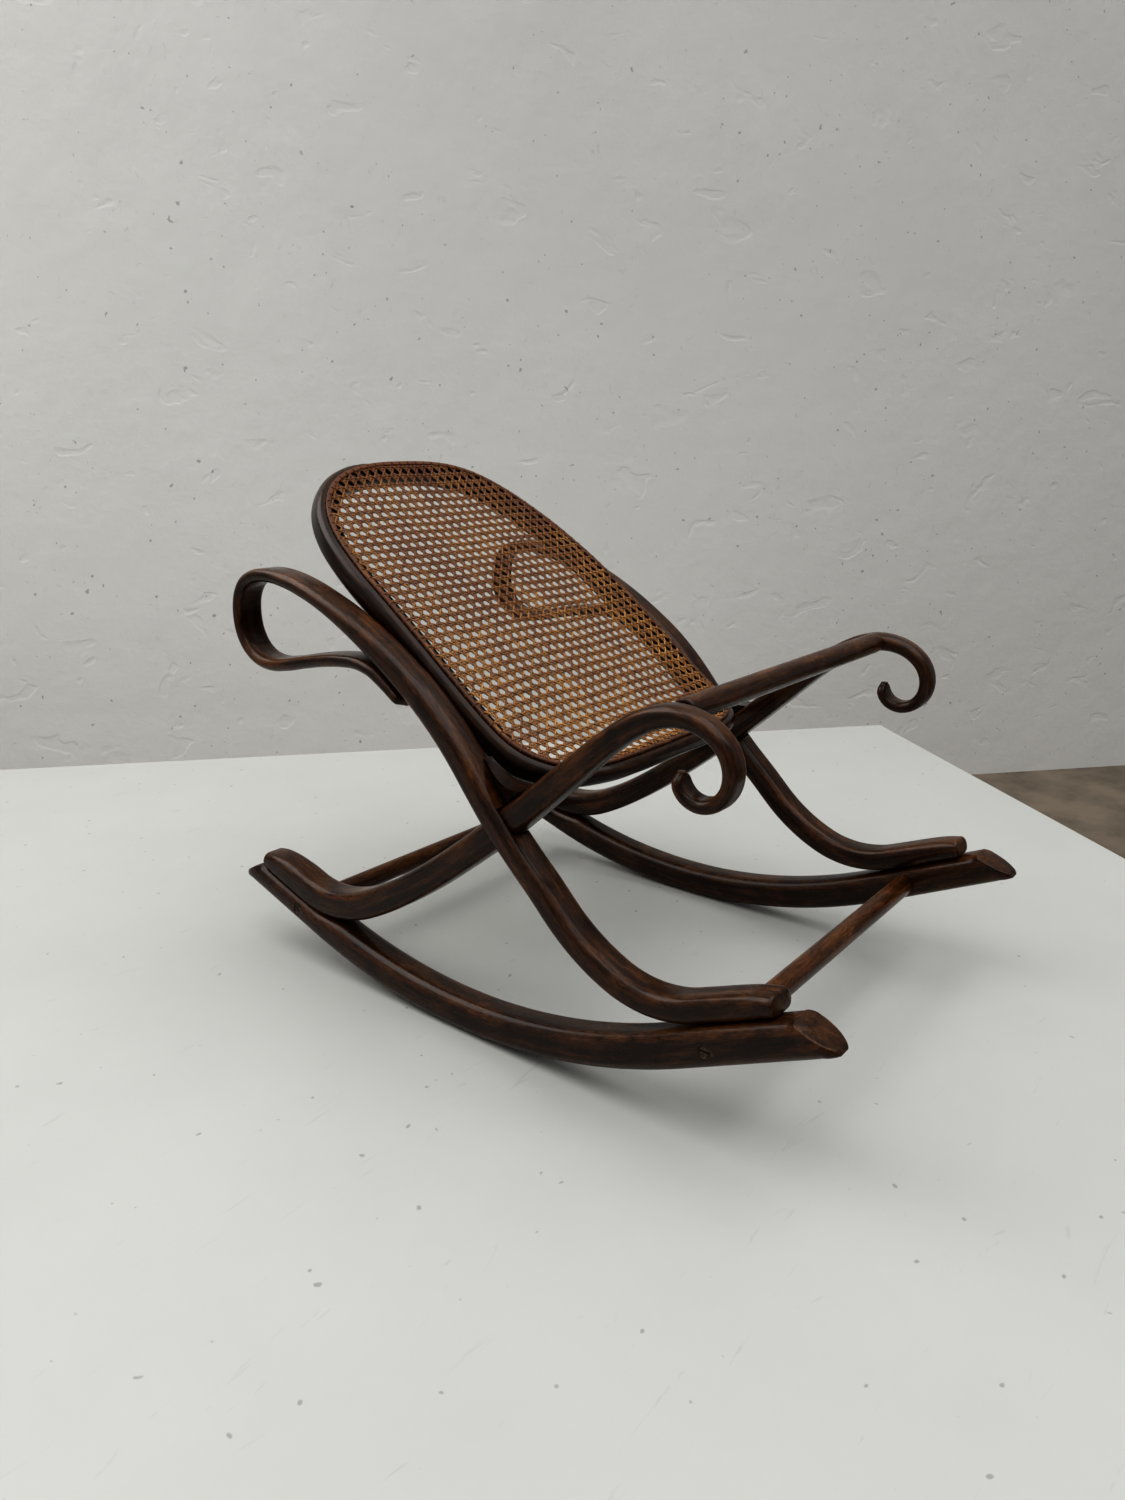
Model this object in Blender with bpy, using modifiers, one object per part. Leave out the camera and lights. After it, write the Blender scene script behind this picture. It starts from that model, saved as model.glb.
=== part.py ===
"""Bentwood rocking footrest: two curved rockers, two pairs of crossed scroll rails, round cross
rails and a woven cane panel in a bent frame. Metres, Z up. X runs across, the low scrolled front
faces -Y and the raised end of the panel faces +Y."""

import math

import bmesh
import bpy
import numpy as np
from mathutils import Matrix, Vector

MM = 0.001
GAP = 0.3 * MM  # clearance left between two touching pieces
WIDTH = 410 * MM  # over the outer faces of the two rockers
SHIFT_Y = 16.9 * MM  # moves the side profile so that the whole object is centred on Y = 0
PROFILE_STEP = 22 * MM  # longest straight facet along a bent member
PROFILE_TURN = math.radians(16)  # largest change of direction between two facets

# Rocker: a flat contact facet under the centre of gravity, an arc each way, then straight ends.
ROCKER_WIDTH = 32 * MM
ROCKER_CORNER = 8 * MM
CONTACT_Y = 8 * MM
CONTACT_HALF = 12.5 * MM
FRONT_RADIUS = 540 * MM
FRONT_ANGLE = math.radians(25.6)
FRONT_STRAIGHT = 108 * MM
BACK_RADIUS = 600 * MM
BACK_ANGLE = math.radians(18.7)
BACK_STRAIGHT = 96 * MM
ROCKER_HALF_MM = ((-340, 14.5), (-220, 15.7), (175, 15.7), (206, 12.7), (320, 12.4))  # y, half
# Bevelled tips: distance past the full section, height kept (both per half thickness), narrowing.
ROCKER_BEVEL = ((0.35, 0.93, 0.0), (0.95, 0.66, 0.10), (1.45, 0.40, 0.28), (1.62, 0.22, 0.5))

# Back scroll rail, from the foot at the front to the tip tucked under the back loop:
# y, z of the centre line and half the thickness in the plane of the curve.
BACK_RAIL_OUTER = 5 * MM  # distance inward from the outer face of the rocker
BACK_RAIL_WIDTH = 30 * MM
BACK_RAIL_MM = (
    (-292.2, 127.7, 8.2), (-280.7, 123.9, 9.3), (-262.2, 116.3, 10.0), (-239.3, 106.3, 10.5),
    (-216.4, 97.4, 10.8), (-190.0, 94.0, 11.0), (-165.0, 97.5, 11.0), (-142.0, 107.0, 11.0),
    (-123.0, 118.5, 11.0), (-107.0, 131.0, 11.0), (-81.7, 156.0, 11.0), (-53.5, 183.0, 11.0),
    (-30.0, 208.5, 11.2), (-15.0, 227.0, 11.3), (2.0, 248.5, 11.3), (21.0, 269.5, 11.2),
    (46.9, 293.0, 11.0), (75.0, 313.5, 10.6), (102.8, 331.5, 10.0), (134.3, 349.0, 9.0),
    (161.2, 361.5, 8.0), (188.8, 371.8, 7.2), (216.0, 379.0, 6.6), (242.0, 382.0, 6.2),
    (263.0, 380.0, 6.0), (279.0, 372.5, 5.8), (288.5, 359.0, 5.6), (291.5, 342.0, 5.5),
    (289.0, 325.0, 5.5), (280.0, 310.5, 5.6), (265.0, 301.0, 5.8), (246.0, 298.0, 6.0),
    (222.0, 300.8, 6.0), (196.0, 306.3, 5.9), (168.0, 311.5, 5.8), (142.0, 314.6, 5.8),
    (122.0, 314.8, 5.7), (105.0, 310.6, 5.4), (90.0, 302.4, 5.0), (76.5, 293.4, 4.5),
    (67.5, 286.8, 3.8),
)

# Front scroll rail, from the tip of the curl to the foot at the back: y, z, half thickness,
# distance of its outer face inward from the outer face of the rocker, and width along X.
FRONT_RAIL_MM = (
    (-205.5, 277.0, 3.4, 14.5, 17), (-206.0, 268.0, 4.5, 13, 20), (-212.5, 260.0, 5.1, 13, 20),
    (-224.0, 256.6, 5.3, 13, 20), (-236.0, 260.5, 5.5, 13, 20), (-244.5, 270.5, 5.7, 13, 20),
    (-247.0, 284.0, 5.9, 13, 20.5), (-242.5, 298.0, 6.2, 13, 21), (-231.0, 309.5, 6.7, 13, 21.5),
    (-215.0, 316.0, 7.4, 13, 22), (-197.0, 317.0, 8.4, 13, 22.5), (-180.0, 312.5, 9.0, 13, 23),
    (-160.0, 301.5, 9.3, 13, 24), (-135.0, 282.5, 9.8, 13, 25), (-110.0, 260.5, 10.6, 13, 26),
    (-85.0, 238.5, 11.4, 12.5, 27), (-60.0, 216.8, 12.0, 12.2, 28), (-39.0, 198.6, 12.3, 12, 28),
    (-18.0, 181.4, 12.4, 11.5, 28), (12.2, 157.6, 12.5, 10, 28.5), (50.6, 129.0, 12.8, 8, 29),
    (88.5, 104.2, 13.2, 6, 29.5), (115.0, 89.6, 13.6, 4.5, 30), (139.0, 78.8, 13.9, 3.3, 30),
    (162.0, 72.8, 14.0, 2.4, 30), (184.0, 71.3, 14.0, 1.8, 30), (205.0, 74.1, 13.8, 1.5, 30),
    (228.0, 81.4, 13.5, 1.5, 30), (250.0, 87.7, 12.3, 1.5, 29.5), (266.0, 90.6, 10.2, 2, 29),
    (274.0, 91.4, 8.4, 2.4, 28.2),
)
RAIL_CORNER = 6.5 * MM
CROSSING_YZ = (-39.0 * MM, 198.6 * MM)  # where the two rails of one side cross
CROSSING_ANGLE = math.radians(-40.6)  # direction of the front rail there, below +Y
NOTCH_HALF = 12.9 * MM
NOTCH_OUTER = 11.6 * MM

# Glued corner block in the upper angle of the crossing.
BLOCK_CORNER = (-39.5 * MM, 215.6 * MM)
BLOCK_BACK_ANGLE = math.radians(51.8)  # direction of each rail's upper face
BLOCK_FRONT_ANGLE = math.radians(139.4)
BLOCK_ALONG_BACK = 44 * MM
BLOCK_ALONG_FRONT = 28 * MM
BLOCK_OUTER = 12.6 * MM
BLOCK_INNER = 34.6 * MM

# Round cross members, each an axis in the side profile and a radius.
FRONT_STRETCHER_YZ = (-246 * MM, 79.4 * MM)
BACK_STRETCHER_YZ = (222 * MM, 55.3 * MM)
STRETCHER_RADIUS = 9.8 * MM
TOP_RAIL_YZ = (-197 * MM, 317.5 * MM)
TOP_RAIL_RADIUS = 9.6 * MM
TOP_RAIL_INSET = 36 * MM  # inner face of the front scroll rail at the top of the scroll
TENON_RADIUS = 5 * MM
TENON_LENGTH = 12 * MM

# Panel: the cane surface seen from the side, then the centre line of the frame in the plane of
# the panel as (distance from the middle, distance along the surface from the front edge).
PANEL_PROFILE_MM = (
    (-90, 236.5), (-55, 243.0), (-20, 259.5), (20, 289.5), (70, 329.0), (122, 368.0),
    (170, 401.0), (215, 433.0), (245, 458.5), (265, 480.0),
)
FRAME_LOOP_MM = (
    (0, 11), (60, 11), (100, 15), (131, 31), (150, 60), (156.5, 100), (158, 150), (158, 200),
    (157.5, 250), (154.5, 300), (146, 345), (129, 382), (103, 409), (66, 425), (0, 431),
)
FRAME_WIDTH = 23 * MM  # across the bar, in the plane of the panel
FRAME_DEPTH = 24 * MM
FRAME_FRONT_DEPTH = 16 * MM  # the front bar is thinned, as far as the corners
FRAME_THINNED_TO = 60 * MM
FRAME_CORNER = 6.5 * MM
CANE_INSET = 7.5 * MM  # from the outer face of the frame to the edge of the cane
CANE_THICKNESS = 1.3 * MM
BINDER_WIDTH = 5 * MM
BINDER_THICKNESS = 1.2 * MM
BINDER_LIFT = 0.45 * MM
CANE_LIFT = 0.8 * MM
CANE_ROWS = 34
CANE_END_HALF = 40 * MM  # half the straight edge at each end

# Slotted countersunk wood screws.
SCREW_HEAD_RADIUS = 4.4 * MM
SCREW_HEAD_DEPTH = 3.2 * MM
SCREW_SHANK_RADIUS = 2.1 * MM
SCREW_TIP = 5 * MM
SLOT_WIDTH = 1.2 * MM
SLOT_DEPTH = 1.1 * MM
SCREW_SIDES = 16
SCREW_TURN = math.radians(5)
RECESS = 0.6 * MM

HALF = WIDTH / 2

# Colour, roughness and metallic value of each finish.
FINISHES = {
    "rocker_wood": ((0.060, 0.026, 0.015), 0.34, 0.0),
    "back_rail_wood": ((0.078, 0.033, 0.018), 0.32, 0.0),
    "front_rail_wood": ((0.070, 0.030, 0.017), 0.33, 0.0),
    "block_wood": ((0.090, 0.042, 0.022), 0.45, 0.0),
    "stretcher_wood": ((0.085, 0.040, 0.021), 0.38, 0.0),
    "top_rail_wood": ((0.080, 0.036, 0.019), 0.36, 0.0),
    "frame_wood": ((0.058, 0.024, 0.014), 0.32, 0.0),
    "woven_cane": ((0.50, 0.27, 0.11), 0.50, 0.0),
    "binder_cane": ((0.44, 0.22, 0.085), 0.55, 0.0),
    "screw_steel": ((0.10, 0.085, 0.07), 0.45, 1.0),
}


def clear_scene():
    for obj in list(bpy.data.objects):
        bpy.data.objects.remove(obj, do_unlink=True)


def new_collection(name):
    collection = bpy.data.collections.new(name)
    bpy.context.scene.collection.children.link(collection)
    return collection


def make_material(name, colour, roughness, metallic):
    material = bpy.data.materials.new(name)
    material.use_nodes = True
    shader = material.node_tree.nodes["Principled BSDF"]
    shader.inputs["Base Color"].default_value = (*colour, 1.0)
    shader.inputs["Roughness"].default_value = roughness
    shader.inputs["Metallic"].default_value = metallic
    return material


def smooth_path(points, closed=False):
    """Catmull-Rom curve through the rows of points, cut where it is long or turns quickly."""
    rows = np.array(points, float)
    count = len(rows)
    spans = count if closed else count - 1
    path = []
    for i in range(spans):
        if closed:
            before, start, end, after = (rows[(i + k) % count] for k in (-1, 0, 1, 2))
        else:
            start, end = rows[i], rows[i + 1]
            before = rows[i - 1] if i else 2 * start - end
            after = rows[i + 2] if i + 2 < count else 2 * end - start
        length = np.linalg.norm((end - start)[:2])
        into, out = (start - before)[:2], (after - end)[:2]
        turn = abs(math.atan2(into[0] * out[1] - into[1] * out[0], into @ out)) / 2
        steps = max(1, math.ceil(length / PROFILE_STEP), math.ceil(turn / PROFILE_TURN))
        chords = [np.linalg.norm((b - a)[:2]) for a, b in ((before, start), (start, end), (end, after))]
        slope_in = ((start - before) / chords[0] + (end - start) / chords[1]) / 2 * length
        slope_out = ((end - start) / chords[1] + (after - end) / chords[2]) / 2 * length
        for k in range(steps):
            t = k / steps
            path.append(
                (2 * t**3 - 3 * t**2 + 1) * start
                + (t**3 - 2 * t**2 + t) * slope_in
                + (3 * t**2 - 2 * t**3) * end
                + (t**3 - t**2) * slope_out
            )
    if not closed:
        path.append(rows[-1])
    return np.array(path)


def directions(path, closed=False):
    """Unit tangent at each row, from its two neighbours."""
    if closed:
        ahead, behind = np.roll(path, -1, axis=0), np.roll(path, 1, axis=0)
    else:
        ahead = np.vstack([path[1:], path[-1]])
        behind = np.vstack([path[0], path[:-1]])
    tangents = ahead - behind
    return tangents / np.linalg.norm(tangents, axis=1)[:, None]


def rounded_ring(half_a, half_b, corner, steps=2):
    """Points of a rectangle with rounded corners, counter-clockwise. No steps leaves it square."""
    corner = min(corner, half_a * 0.96, half_b * 0.96) if steps else 0
    ring = []
    for quarter in range(4):
        sign_a = (1, -1, -1, 1)[quarter]
        sign_b = (1, 1, -1, -1)[quarter]
        for step in range(steps + 1):
            angle = math.radians(90 * quarter + 90 / max(steps, 1) * step)
            ring.append(
                (
                    sign_a * (half_a - corner) + corner * math.cos(angle),
                    sign_b * (half_b - corner) + corner * math.sin(angle),
                )
            )
    return ring


def loft(name, rings, material, collection, closed=False):
    """Joins rings of equal length into one closed skin, capped unless the path is a loop."""
    mesh = bpy.data.meshes.new(name)
    shape = bmesh.new()
    rows = [[shape.verts.new(point) for point in ring] for ring in rings]
    count = len(rows[0])
    pairs = list(zip(rows[:-1], rows[1:]))
    if closed:
        pairs.append((rows[-1], rows[0]))
    else:
        shape.faces.new(rows[0][::-1])
        shape.faces.new(rows[-1])
    for near, far in pairs:
        for i in range(count):
            j = (i + 1) % count
            shape.faces.new((near[i], near[j], far[j], far[i]))
    bmesh.ops.recalc_face_normals(shape, faces=shape.faces)
    shape.to_mesh(mesh)
    shape.free()
    obj = bpy.data.objects.new(name, mesh)
    collection.objects.link(obj)
    if material:
        mesh.materials.append(material)
    smooth_shading(obj)
    return obj


def smooth_shading(obj):
    """Shades round faces smooth and keeps edges over 35 degrees crisp."""
    for face in obj.data.polygons:
        face.use_smooth = True
    obj.data.set_sharp_from_angle(angle=math.radians(35))


def side_rings(stations, side, blunt=True):
    """Rings of a member bent in the side plane. Each station holds y, z, half thickness, distance
    of its outer face inward from the rocker and width. side is -1 for left, 1 for right."""
    tangents = directions(stations[:, :2])
    rings = []
    last = len(stations) - 1
    for i, (y, z, half, outer, width) in enumerate(stations):
        centre = Vector((side * (HALF - outer - width / 2), y + SHIFT_Y, z))
        along = Vector((0, tangents[i][0], tangents[i][1]))
        normal = Vector((0, -along.z, along.y))
        scales = [(0.0, 1.0)]
        if blunt and i == 0:
            scales = [(-0.62, 0.50), (-0.50, 0.74), (-0.28, 0.92), (0.0, 1.0)]
        elif blunt and i == last:
            scales = [(0.0, 1.0), (0.28, 0.92), (0.50, 0.74), (0.62, 0.50)]
        for ahead, scale in scales:
            half_a = width / 2 - half * (1 - scale)
            ring = rounded_ring(half_a, half * scale, RAIL_CORNER)
            rings.append(
                [centre + along * (ahead * half) + Vector((a, 0, 0)) + normal * b for a, b in ring]
            )
    return rings


def foot_seat(side, collection):
    """Cutter shaped like the rocker and one gap larger, so that each foot is scribed to it."""
    rings = []
    for y, z, turn in rocker_underside():
        normal = Vector((0, -math.sin(turn), math.cos(turn)))
        half = rocker_half(y)
        centre = Vector((side * (HALF - ROCKER_WIDTH / 2), y + SHIFT_Y, z)) + normal * half
        ring = rounded_ring(ROCKER_WIDTH, half + GAP, 0, 0)
        rings.append([centre + Vector((a, 0, 0)) + normal * b for a, b in ring])
    seat = loft(f"foot_seat_{side}", rings, None, collection)
    hide_cutter(seat)
    return seat


def bent_rail(name, stations, side, material, collection):
    return loft(name, side_rings(stations, side), material, collection)


def back_rail_stations():
    rows = np.array(BACK_RAIL_MM) * MM
    outer = np.full((len(rows), 1), BACK_RAIL_OUTER)
    width = np.full((len(rows), 1), BACK_RAIL_WIDTH)
    return smooth_path(np.hstack([rows, outer, width]))


def front_rail_stations():
    return smooth_path(np.array(FRONT_RAIL_MM) * MM)


def rocker_half(y):
    """Half thickness of the rocker at y. Its top drops into a seat for the front rail's foot."""
    reach = [row[0] * MM for row in ROCKER_HALF_MM]
    return float(np.interp(y, reach, [row[1] * MM for row in ROCKER_HALF_MM]))


def rocker_underside():
    """Points (y, z, angle of the tangent) along the underside, from the front tip to the back."""
    path = []
    for sign, radius, angle, straight in (
        (-1, FRONT_RADIUS, FRONT_ANGLE, FRONT_STRAIGHT),
        (1, BACK_RADIUS, BACK_ANGLE, BACK_STRAIGHT),
    ):
        first = math.asin(CONTACT_HALF / radius)
        steps = math.ceil((angle - first) * radius / PROFILE_STEP)
        half = []
        for k in range(steps + 1):
            turn = first + (angle - first) * k / steps
            y = CONTACT_Y + sign * radius * math.sin(turn)
            half.append((y, radius * (math.cos(first) - math.cos(turn)), sign * turn))
        y, z, turn = half[-1]
        steps = math.ceil(straight / (2 * PROFILE_STEP))
        for k in range(1, steps + 1):
            reach = straight * k / steps
            half.append((y + sign * reach * math.cos(turn), z + reach * abs(math.sin(turn)), turn))
        path = half[::-1] if sign < 0 else path + half
    return path


def rocker_rings(side):
    """Full sections along the underside, then a bevel cut that slopes down to each tip."""
    rings = []
    underside = rocker_underside()
    ends = []
    for index, sign in ((0, -1), (-1, 1)):
        y, z, turn = underside[index]
        full = rocker_half(y)
        end = []
        for reach, keep, narrow in ROCKER_BEVEL:
            end.append(
                (
                    y + sign * reach * full * math.cos(turn),
                    z + reach * full * abs(math.sin(turn)),
                    turn,
                    full * keep,
                    ROCKER_WIDTH / 2 * (1 - narrow),
                )
            )
        ends.append(end)
    body = [(y, z, turn, rocker_half(y), ROCKER_WIDTH / 2) for y, z, turn in underside]
    for y, z, turn, half, half_width in ends[0][::-1] + body + ends[1]:
        normal = Vector((0, -math.sin(turn), math.cos(turn)))
        centre = Vector((side * (HALF - ROCKER_WIDTH / 2), y + SHIFT_Y, z)) + normal * half
        ring = rounded_ring(half_width, half, ROCKER_CORNER)
        rings.append([centre + Vector((a, 0, 0)) + normal * b for a, b in ring])
    return rings


def rocker(name, side, material, collection):
    return loft(name, rocker_rings(side), material, collection)


def hide_cutter(obj):
    obj.hide_render = True
    obj.display_type = "WIRE"


def cut(target, cutter):
    modifier = target.modifiers.new(cutter.name, "BOOLEAN")
    modifier.operation = "DIFFERENCE"
    modifier.solver = "EXACT"
    modifier.object = cutter


def turned(name, profile, place, material, collection, sides=SCREW_SIDES):
    """Revolves (radius, distance along the axis) round local Z and puts it at the matrix."""
    mesh = bpy.data.meshes.new(name)
    points = [(radius, 0, along) for radius, along in profile]
    mesh.from_pydata(points, [(i, i + 1) for i in range(len(points) - 1)], [])
    obj = bpy.data.objects.new(name, mesh)
    collection.objects.link(obj)
    obj.matrix_world = place
    screw = obj.modifiers.new("turn", "SCREW")
    screw.steps = sides
    screw.render_steps = sides
    screw.use_merge_vertices = True
    screw.merge_threshold = 0.00001
    screw.use_smooth_shade = False
    if material:
        mesh.materials.append(material)
    return obj


def place_along(origin, direction):
    """Matrix with its origin at a point and local +Z along a direction."""
    direction = Vector(direction).normalized()
    turn = direction.to_track_quat("Z", "Y").to_matrix().to_4x4()
    return Matrix.Translation(Vector(origin)) @ turn


def screw_profile(length, grow=0.0):
    """Flat head at distance 0, cone, shank and point, listed from the point to the head."""
    head, shank = SCREW_HEAD_RADIUS + grow, SCREW_SHANK_RADIUS + grow
    return [
        (0, length + grow),
        (shank, length - SCREW_TIP + grow),
        (shank, SCREW_HEAD_DEPTH),
        (head, -grow),
        (0, -grow),
    ]


def add_screw(name, origin, direction, length, targets, slot_turn, steel, parts, cutters):
    """A slotted screw whose head lies at origin, with a clearance hole cut in each target."""
    place = place_along(origin, direction) @ Matrix.Rotation(SCREW_TURN, 4, "Z")
    hole_profile = screw_profile(length, GAP)
    hole_profile[-2:] = [(SCREW_HEAD_RADIUS + GAP, 0), (SCREW_HEAD_RADIUS + GAP, -6 * MM), (0, -6 * MM)]
    hole = turned(name + "_hole", hole_profile, place, None, cutters, SCREW_SIDES)
    hide_cutter(hole)
    for target in targets:
        cut(target, hole)
    screw = turned(name, screw_profile(length), place, steel, parts)
    slot_mesh = bpy.data.meshes.new(name + "_slot")
    shape = bmesh.new()
    bmesh.ops.create_cube(shape, size=1.0)
    shape.to_mesh(slot_mesh)
    shape.free()
    slot = bpy.data.objects.new(name + "_slot", slot_mesh)
    cutters.objects.link(slot)
    size = Matrix.Diagonal((SCREW_HEAD_RADIUS * 3, SLOT_WIDTH, SLOT_DEPTH * 2, 1))
    slot.matrix_world = place @ Matrix.Rotation(slot_turn, 4, "Z") @ size
    hide_cutter(slot)
    cut(screw, slot)
    return screw


def box_cutter(name, centre, angle, size, collection):
    """A block turned about X by angle, used to cut the half-lap notch."""
    mesh = bpy.data.meshes.new(name)
    shape = bmesh.new()
    bmesh.ops.create_cube(shape, size=1.0)
    shape.to_mesh(mesh)
    shape.free()
    obj = bpy.data.objects.new(name, mesh)
    collection.objects.link(obj)
    obj.matrix_world = (
        Matrix.Translation(centre) @ Matrix.Rotation(angle, 4, "X") @ Matrix.Diagonal((*size, 1))
    )
    hide_cutter(obj)
    return obj


def corner_block(name, side, material, collection):
    """Three-sided block with one hollow face, filling the upper angle between the two rails."""
    up_back = Vector((0, math.cos(BLOCK_BACK_ANGLE), math.sin(BLOCK_BACK_ANGLE)))
    up_front = Vector((0, math.cos(BLOCK_FRONT_ANGLE), math.sin(BLOCK_FRONT_ANGLE)))
    corner = Vector((0, BLOCK_CORNER[0] + SHIFT_Y, BLOCK_CORNER[1]))
    first = corner + up_front * BLOCK_ALONG_FRONT
    last = corner + up_back * BLOCK_ALONG_BACK
    outline = [corner]
    steps = 6
    for k in range(steps + 1):
        t = k / steps
        pull = corner * 0.3 + (first + last) * 0.35
        outline.append(first * (1 - t) ** 2 + pull * (2 * t * (1 - t)) + last * t**2)
    rings = []
    for inset in (BLOCK_OUTER, BLOCK_INNER):
        rings.append([point + Vector((side * (HALF - inset), 0, 0)) for point in outline])
    return loft(name, rings, material, collection)


def dowel(name, centre_yz, half_length, radius, sides, material, collection):
    """A straight round rod across the object with slightly eased ends."""
    ease = 1.2 * MM
    profile = [
        (0, half_length),
        (radius - ease, half_length),
        (radius, half_length - ease),
        (radius, -half_length + ease),
        (radius - ease, -half_length),
        (0, -half_length),
    ]
    place = place_along((0, centre_yz[0] + SHIFT_Y, centre_yz[1]), (1, 0, 0))
    obj = turned(name, profile, place, material, collection, sides)
    return obj


def top_rail(name, material, collection):
    """The rod between the two scrolls, with a rounded shoulder and a stub tenon at each end."""
    half_length = HALF - TOP_RAIL_INSET
    radius = TOP_RAIL_RADIUS
    end = [
        (0, half_length + TENON_LENGTH),
        (TENON_RADIUS, half_length + TENON_LENGTH),
        (TENON_RADIUS, half_length),
        (radius * 0.72, half_length),
        (radius * 0.93, half_length - radius * 0.25),
        (radius, half_length - radius * 0.65),
    ]
    profile = end + [(r, -along) for r, along in reversed(end)]
    place = place_along((0, TOP_RAIL_YZ[0] + SHIFT_Y, TOP_RAIL_YZ[1]), (1, 0, 0))
    return turned(name, profile, place, material, collection, 20)


def tenon_hole(side, collection):
    """Cutter for the socket that takes the tenon in a front scroll rail."""
    radius = TENON_RADIUS + GAP
    start = HALF - TOP_RAIL_INSET - 4 * MM
    end = HALF - TOP_RAIL_INSET + TENON_LENGTH + GAP
    profile = [(0, end), (radius, end), (radius, start), (0, start)]
    place = place_along((0, TOP_RAIL_YZ[0] + SHIFT_Y, TOP_RAIL_YZ[1]), (side, 0, 0))
    hole = turned(f"tenon_hole_{side}", profile, place, None, collection, 20)
    hide_cutter(hole)
    return hole


class PanelSurface:
    """The cane surface: a curve in the side plane, swept straight across."""

    def __init__(self):
        path = smooth_path(np.array(PANEL_PROFILE_MM) * MM)
        fine = [path[0]]
        for start, end in zip(path[:-1], path[1:]):
            fine += [start + (end - start) * k / 4 for k in (1, 2, 3, 4)]
        self.path = np.array(fine)
        steps = np.linalg.norm(np.diff(self.path, axis=0), axis=1)
        self.reach = np.concatenate([[0], np.cumsum(steps)])
        self.tangents = directions(self.path)

    def frame_at(self, s):
        """Point on the surface, direction along it and its upward normal, at distance s."""
        y = float(np.interp(s, self.reach, self.path[:, 0]))
        z = float(np.interp(s, self.reach, self.path[:, 1]))
        dy = float(np.interp(s, self.reach, self.tangents[:, 0]))
        dz = float(np.interp(s, self.reach, self.tangents[:, 1]))
        along = Vector((0, dy, dz)).normalized()
        return Vector((0, y + SHIFT_Y, z)), along, Vector((0, -along.z, along.y))

    def place(self, x, s, height):
        point, _, normal = self.frame_at(s)
        return Vector((x, point.y, point.z)) + normal * height


def frame_loop():
    """Centre line of the frame as (x, s) rows, the given half mirrored to make a closed loop."""
    half = np.array(FRAME_LOOP_MM) * MM
    other = half[1:-1][::-1] * np.array([-1, 1])
    return smooth_path(np.vstack([half, other]), closed=True)


def outward(loop):
    """Unit vectors pointing out of the loop in the plane of the panel."""
    tangents = directions(loop, closed=True)
    return np.stack([tangents[:, 1], -tangents[:, 0]], axis=1)


def frame_underside(s):
    """Height of the frame's underside at distance s from the front edge."""
    return -float(np.interp(s, (15 * MM, FRAME_THINNED_TO), (FRAME_FRONT_DEPTH, FRAME_DEPTH)))


def band(name, surface, loop, offset, width, underside, high, corner, material, collection, steps=2):
    """A bar of rectangular section following the loop, offset outward, from its underside up to high."""
    normals = outward(loop)
    rings = []
    for (x, s), (nx, ns) in zip(loop, normals):
        ring = []
        low = underside(s)
        for a, b in rounded_ring(width / 2, (high - low) / 2, corner, steps):
            reach = offset + a
            ring.append(surface.place(x + nx * reach, s + ns * reach, (low + high) / 2 + b))
        rings.append(ring)
    return loft(name, rings, material, collection, closed=True)


def cane_outline_half_width(loop, inset, s):
    """Half the width of the cane at distance s, from the loop moved in by the inset."""
    edge = loop + outward(loop) * (FRAME_WIDTH / 2 - inset)
    right = edge[edge[:, 0] >= -1e-9]
    right = right[np.argsort(right[:, 1])]
    return float(np.interp(s, right[:, 1], right[:, 0]))


def cane_sheet(name, surface, loop, material, collection):
    """The woven panel as one thin sheet lying on the frame and spanning its opening."""
    edge = loop + outward(loop) * (FRAME_WIDTH / 2 - CANE_INSET)
    s_low, s_high = edge[:, 1].min(), edge[:, 1].max()
    rows = []
    for j in range(CANE_ROWS + 1):
        blend = (1 - math.cos(math.pi * j / CANE_ROWS)) / 2
        s = s_low + (s_high - s_low) * (0.75 * blend + 0.25 * j / CANE_ROWS)
        half = max(cane_outline_half_width(loop, CANE_INSET, s), CANE_END_HALF)
        rows.append([surface.place(x, s, CANE_LIFT) for x in (-half, half)])
    mesh = bpy.data.meshes.new(name)
    faces = [(2 * j, 2 * j + 1, 2 * j + 3, 2 * j + 2) for j in range(CANE_ROWS)]
    mesh.from_pydata([point for row in rows for point in row], [], faces)
    obj = bpy.data.objects.new(name, mesh)
    collection.objects.link(obj)
    mesh.materials.append(material)
    solid = obj.modifiers.new("thickness", "SOLIDIFY")
    solid.thickness = CANE_THICKNESS
    solid.offset = 1.0
    smooth_shading(obj)
    return obj


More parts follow.
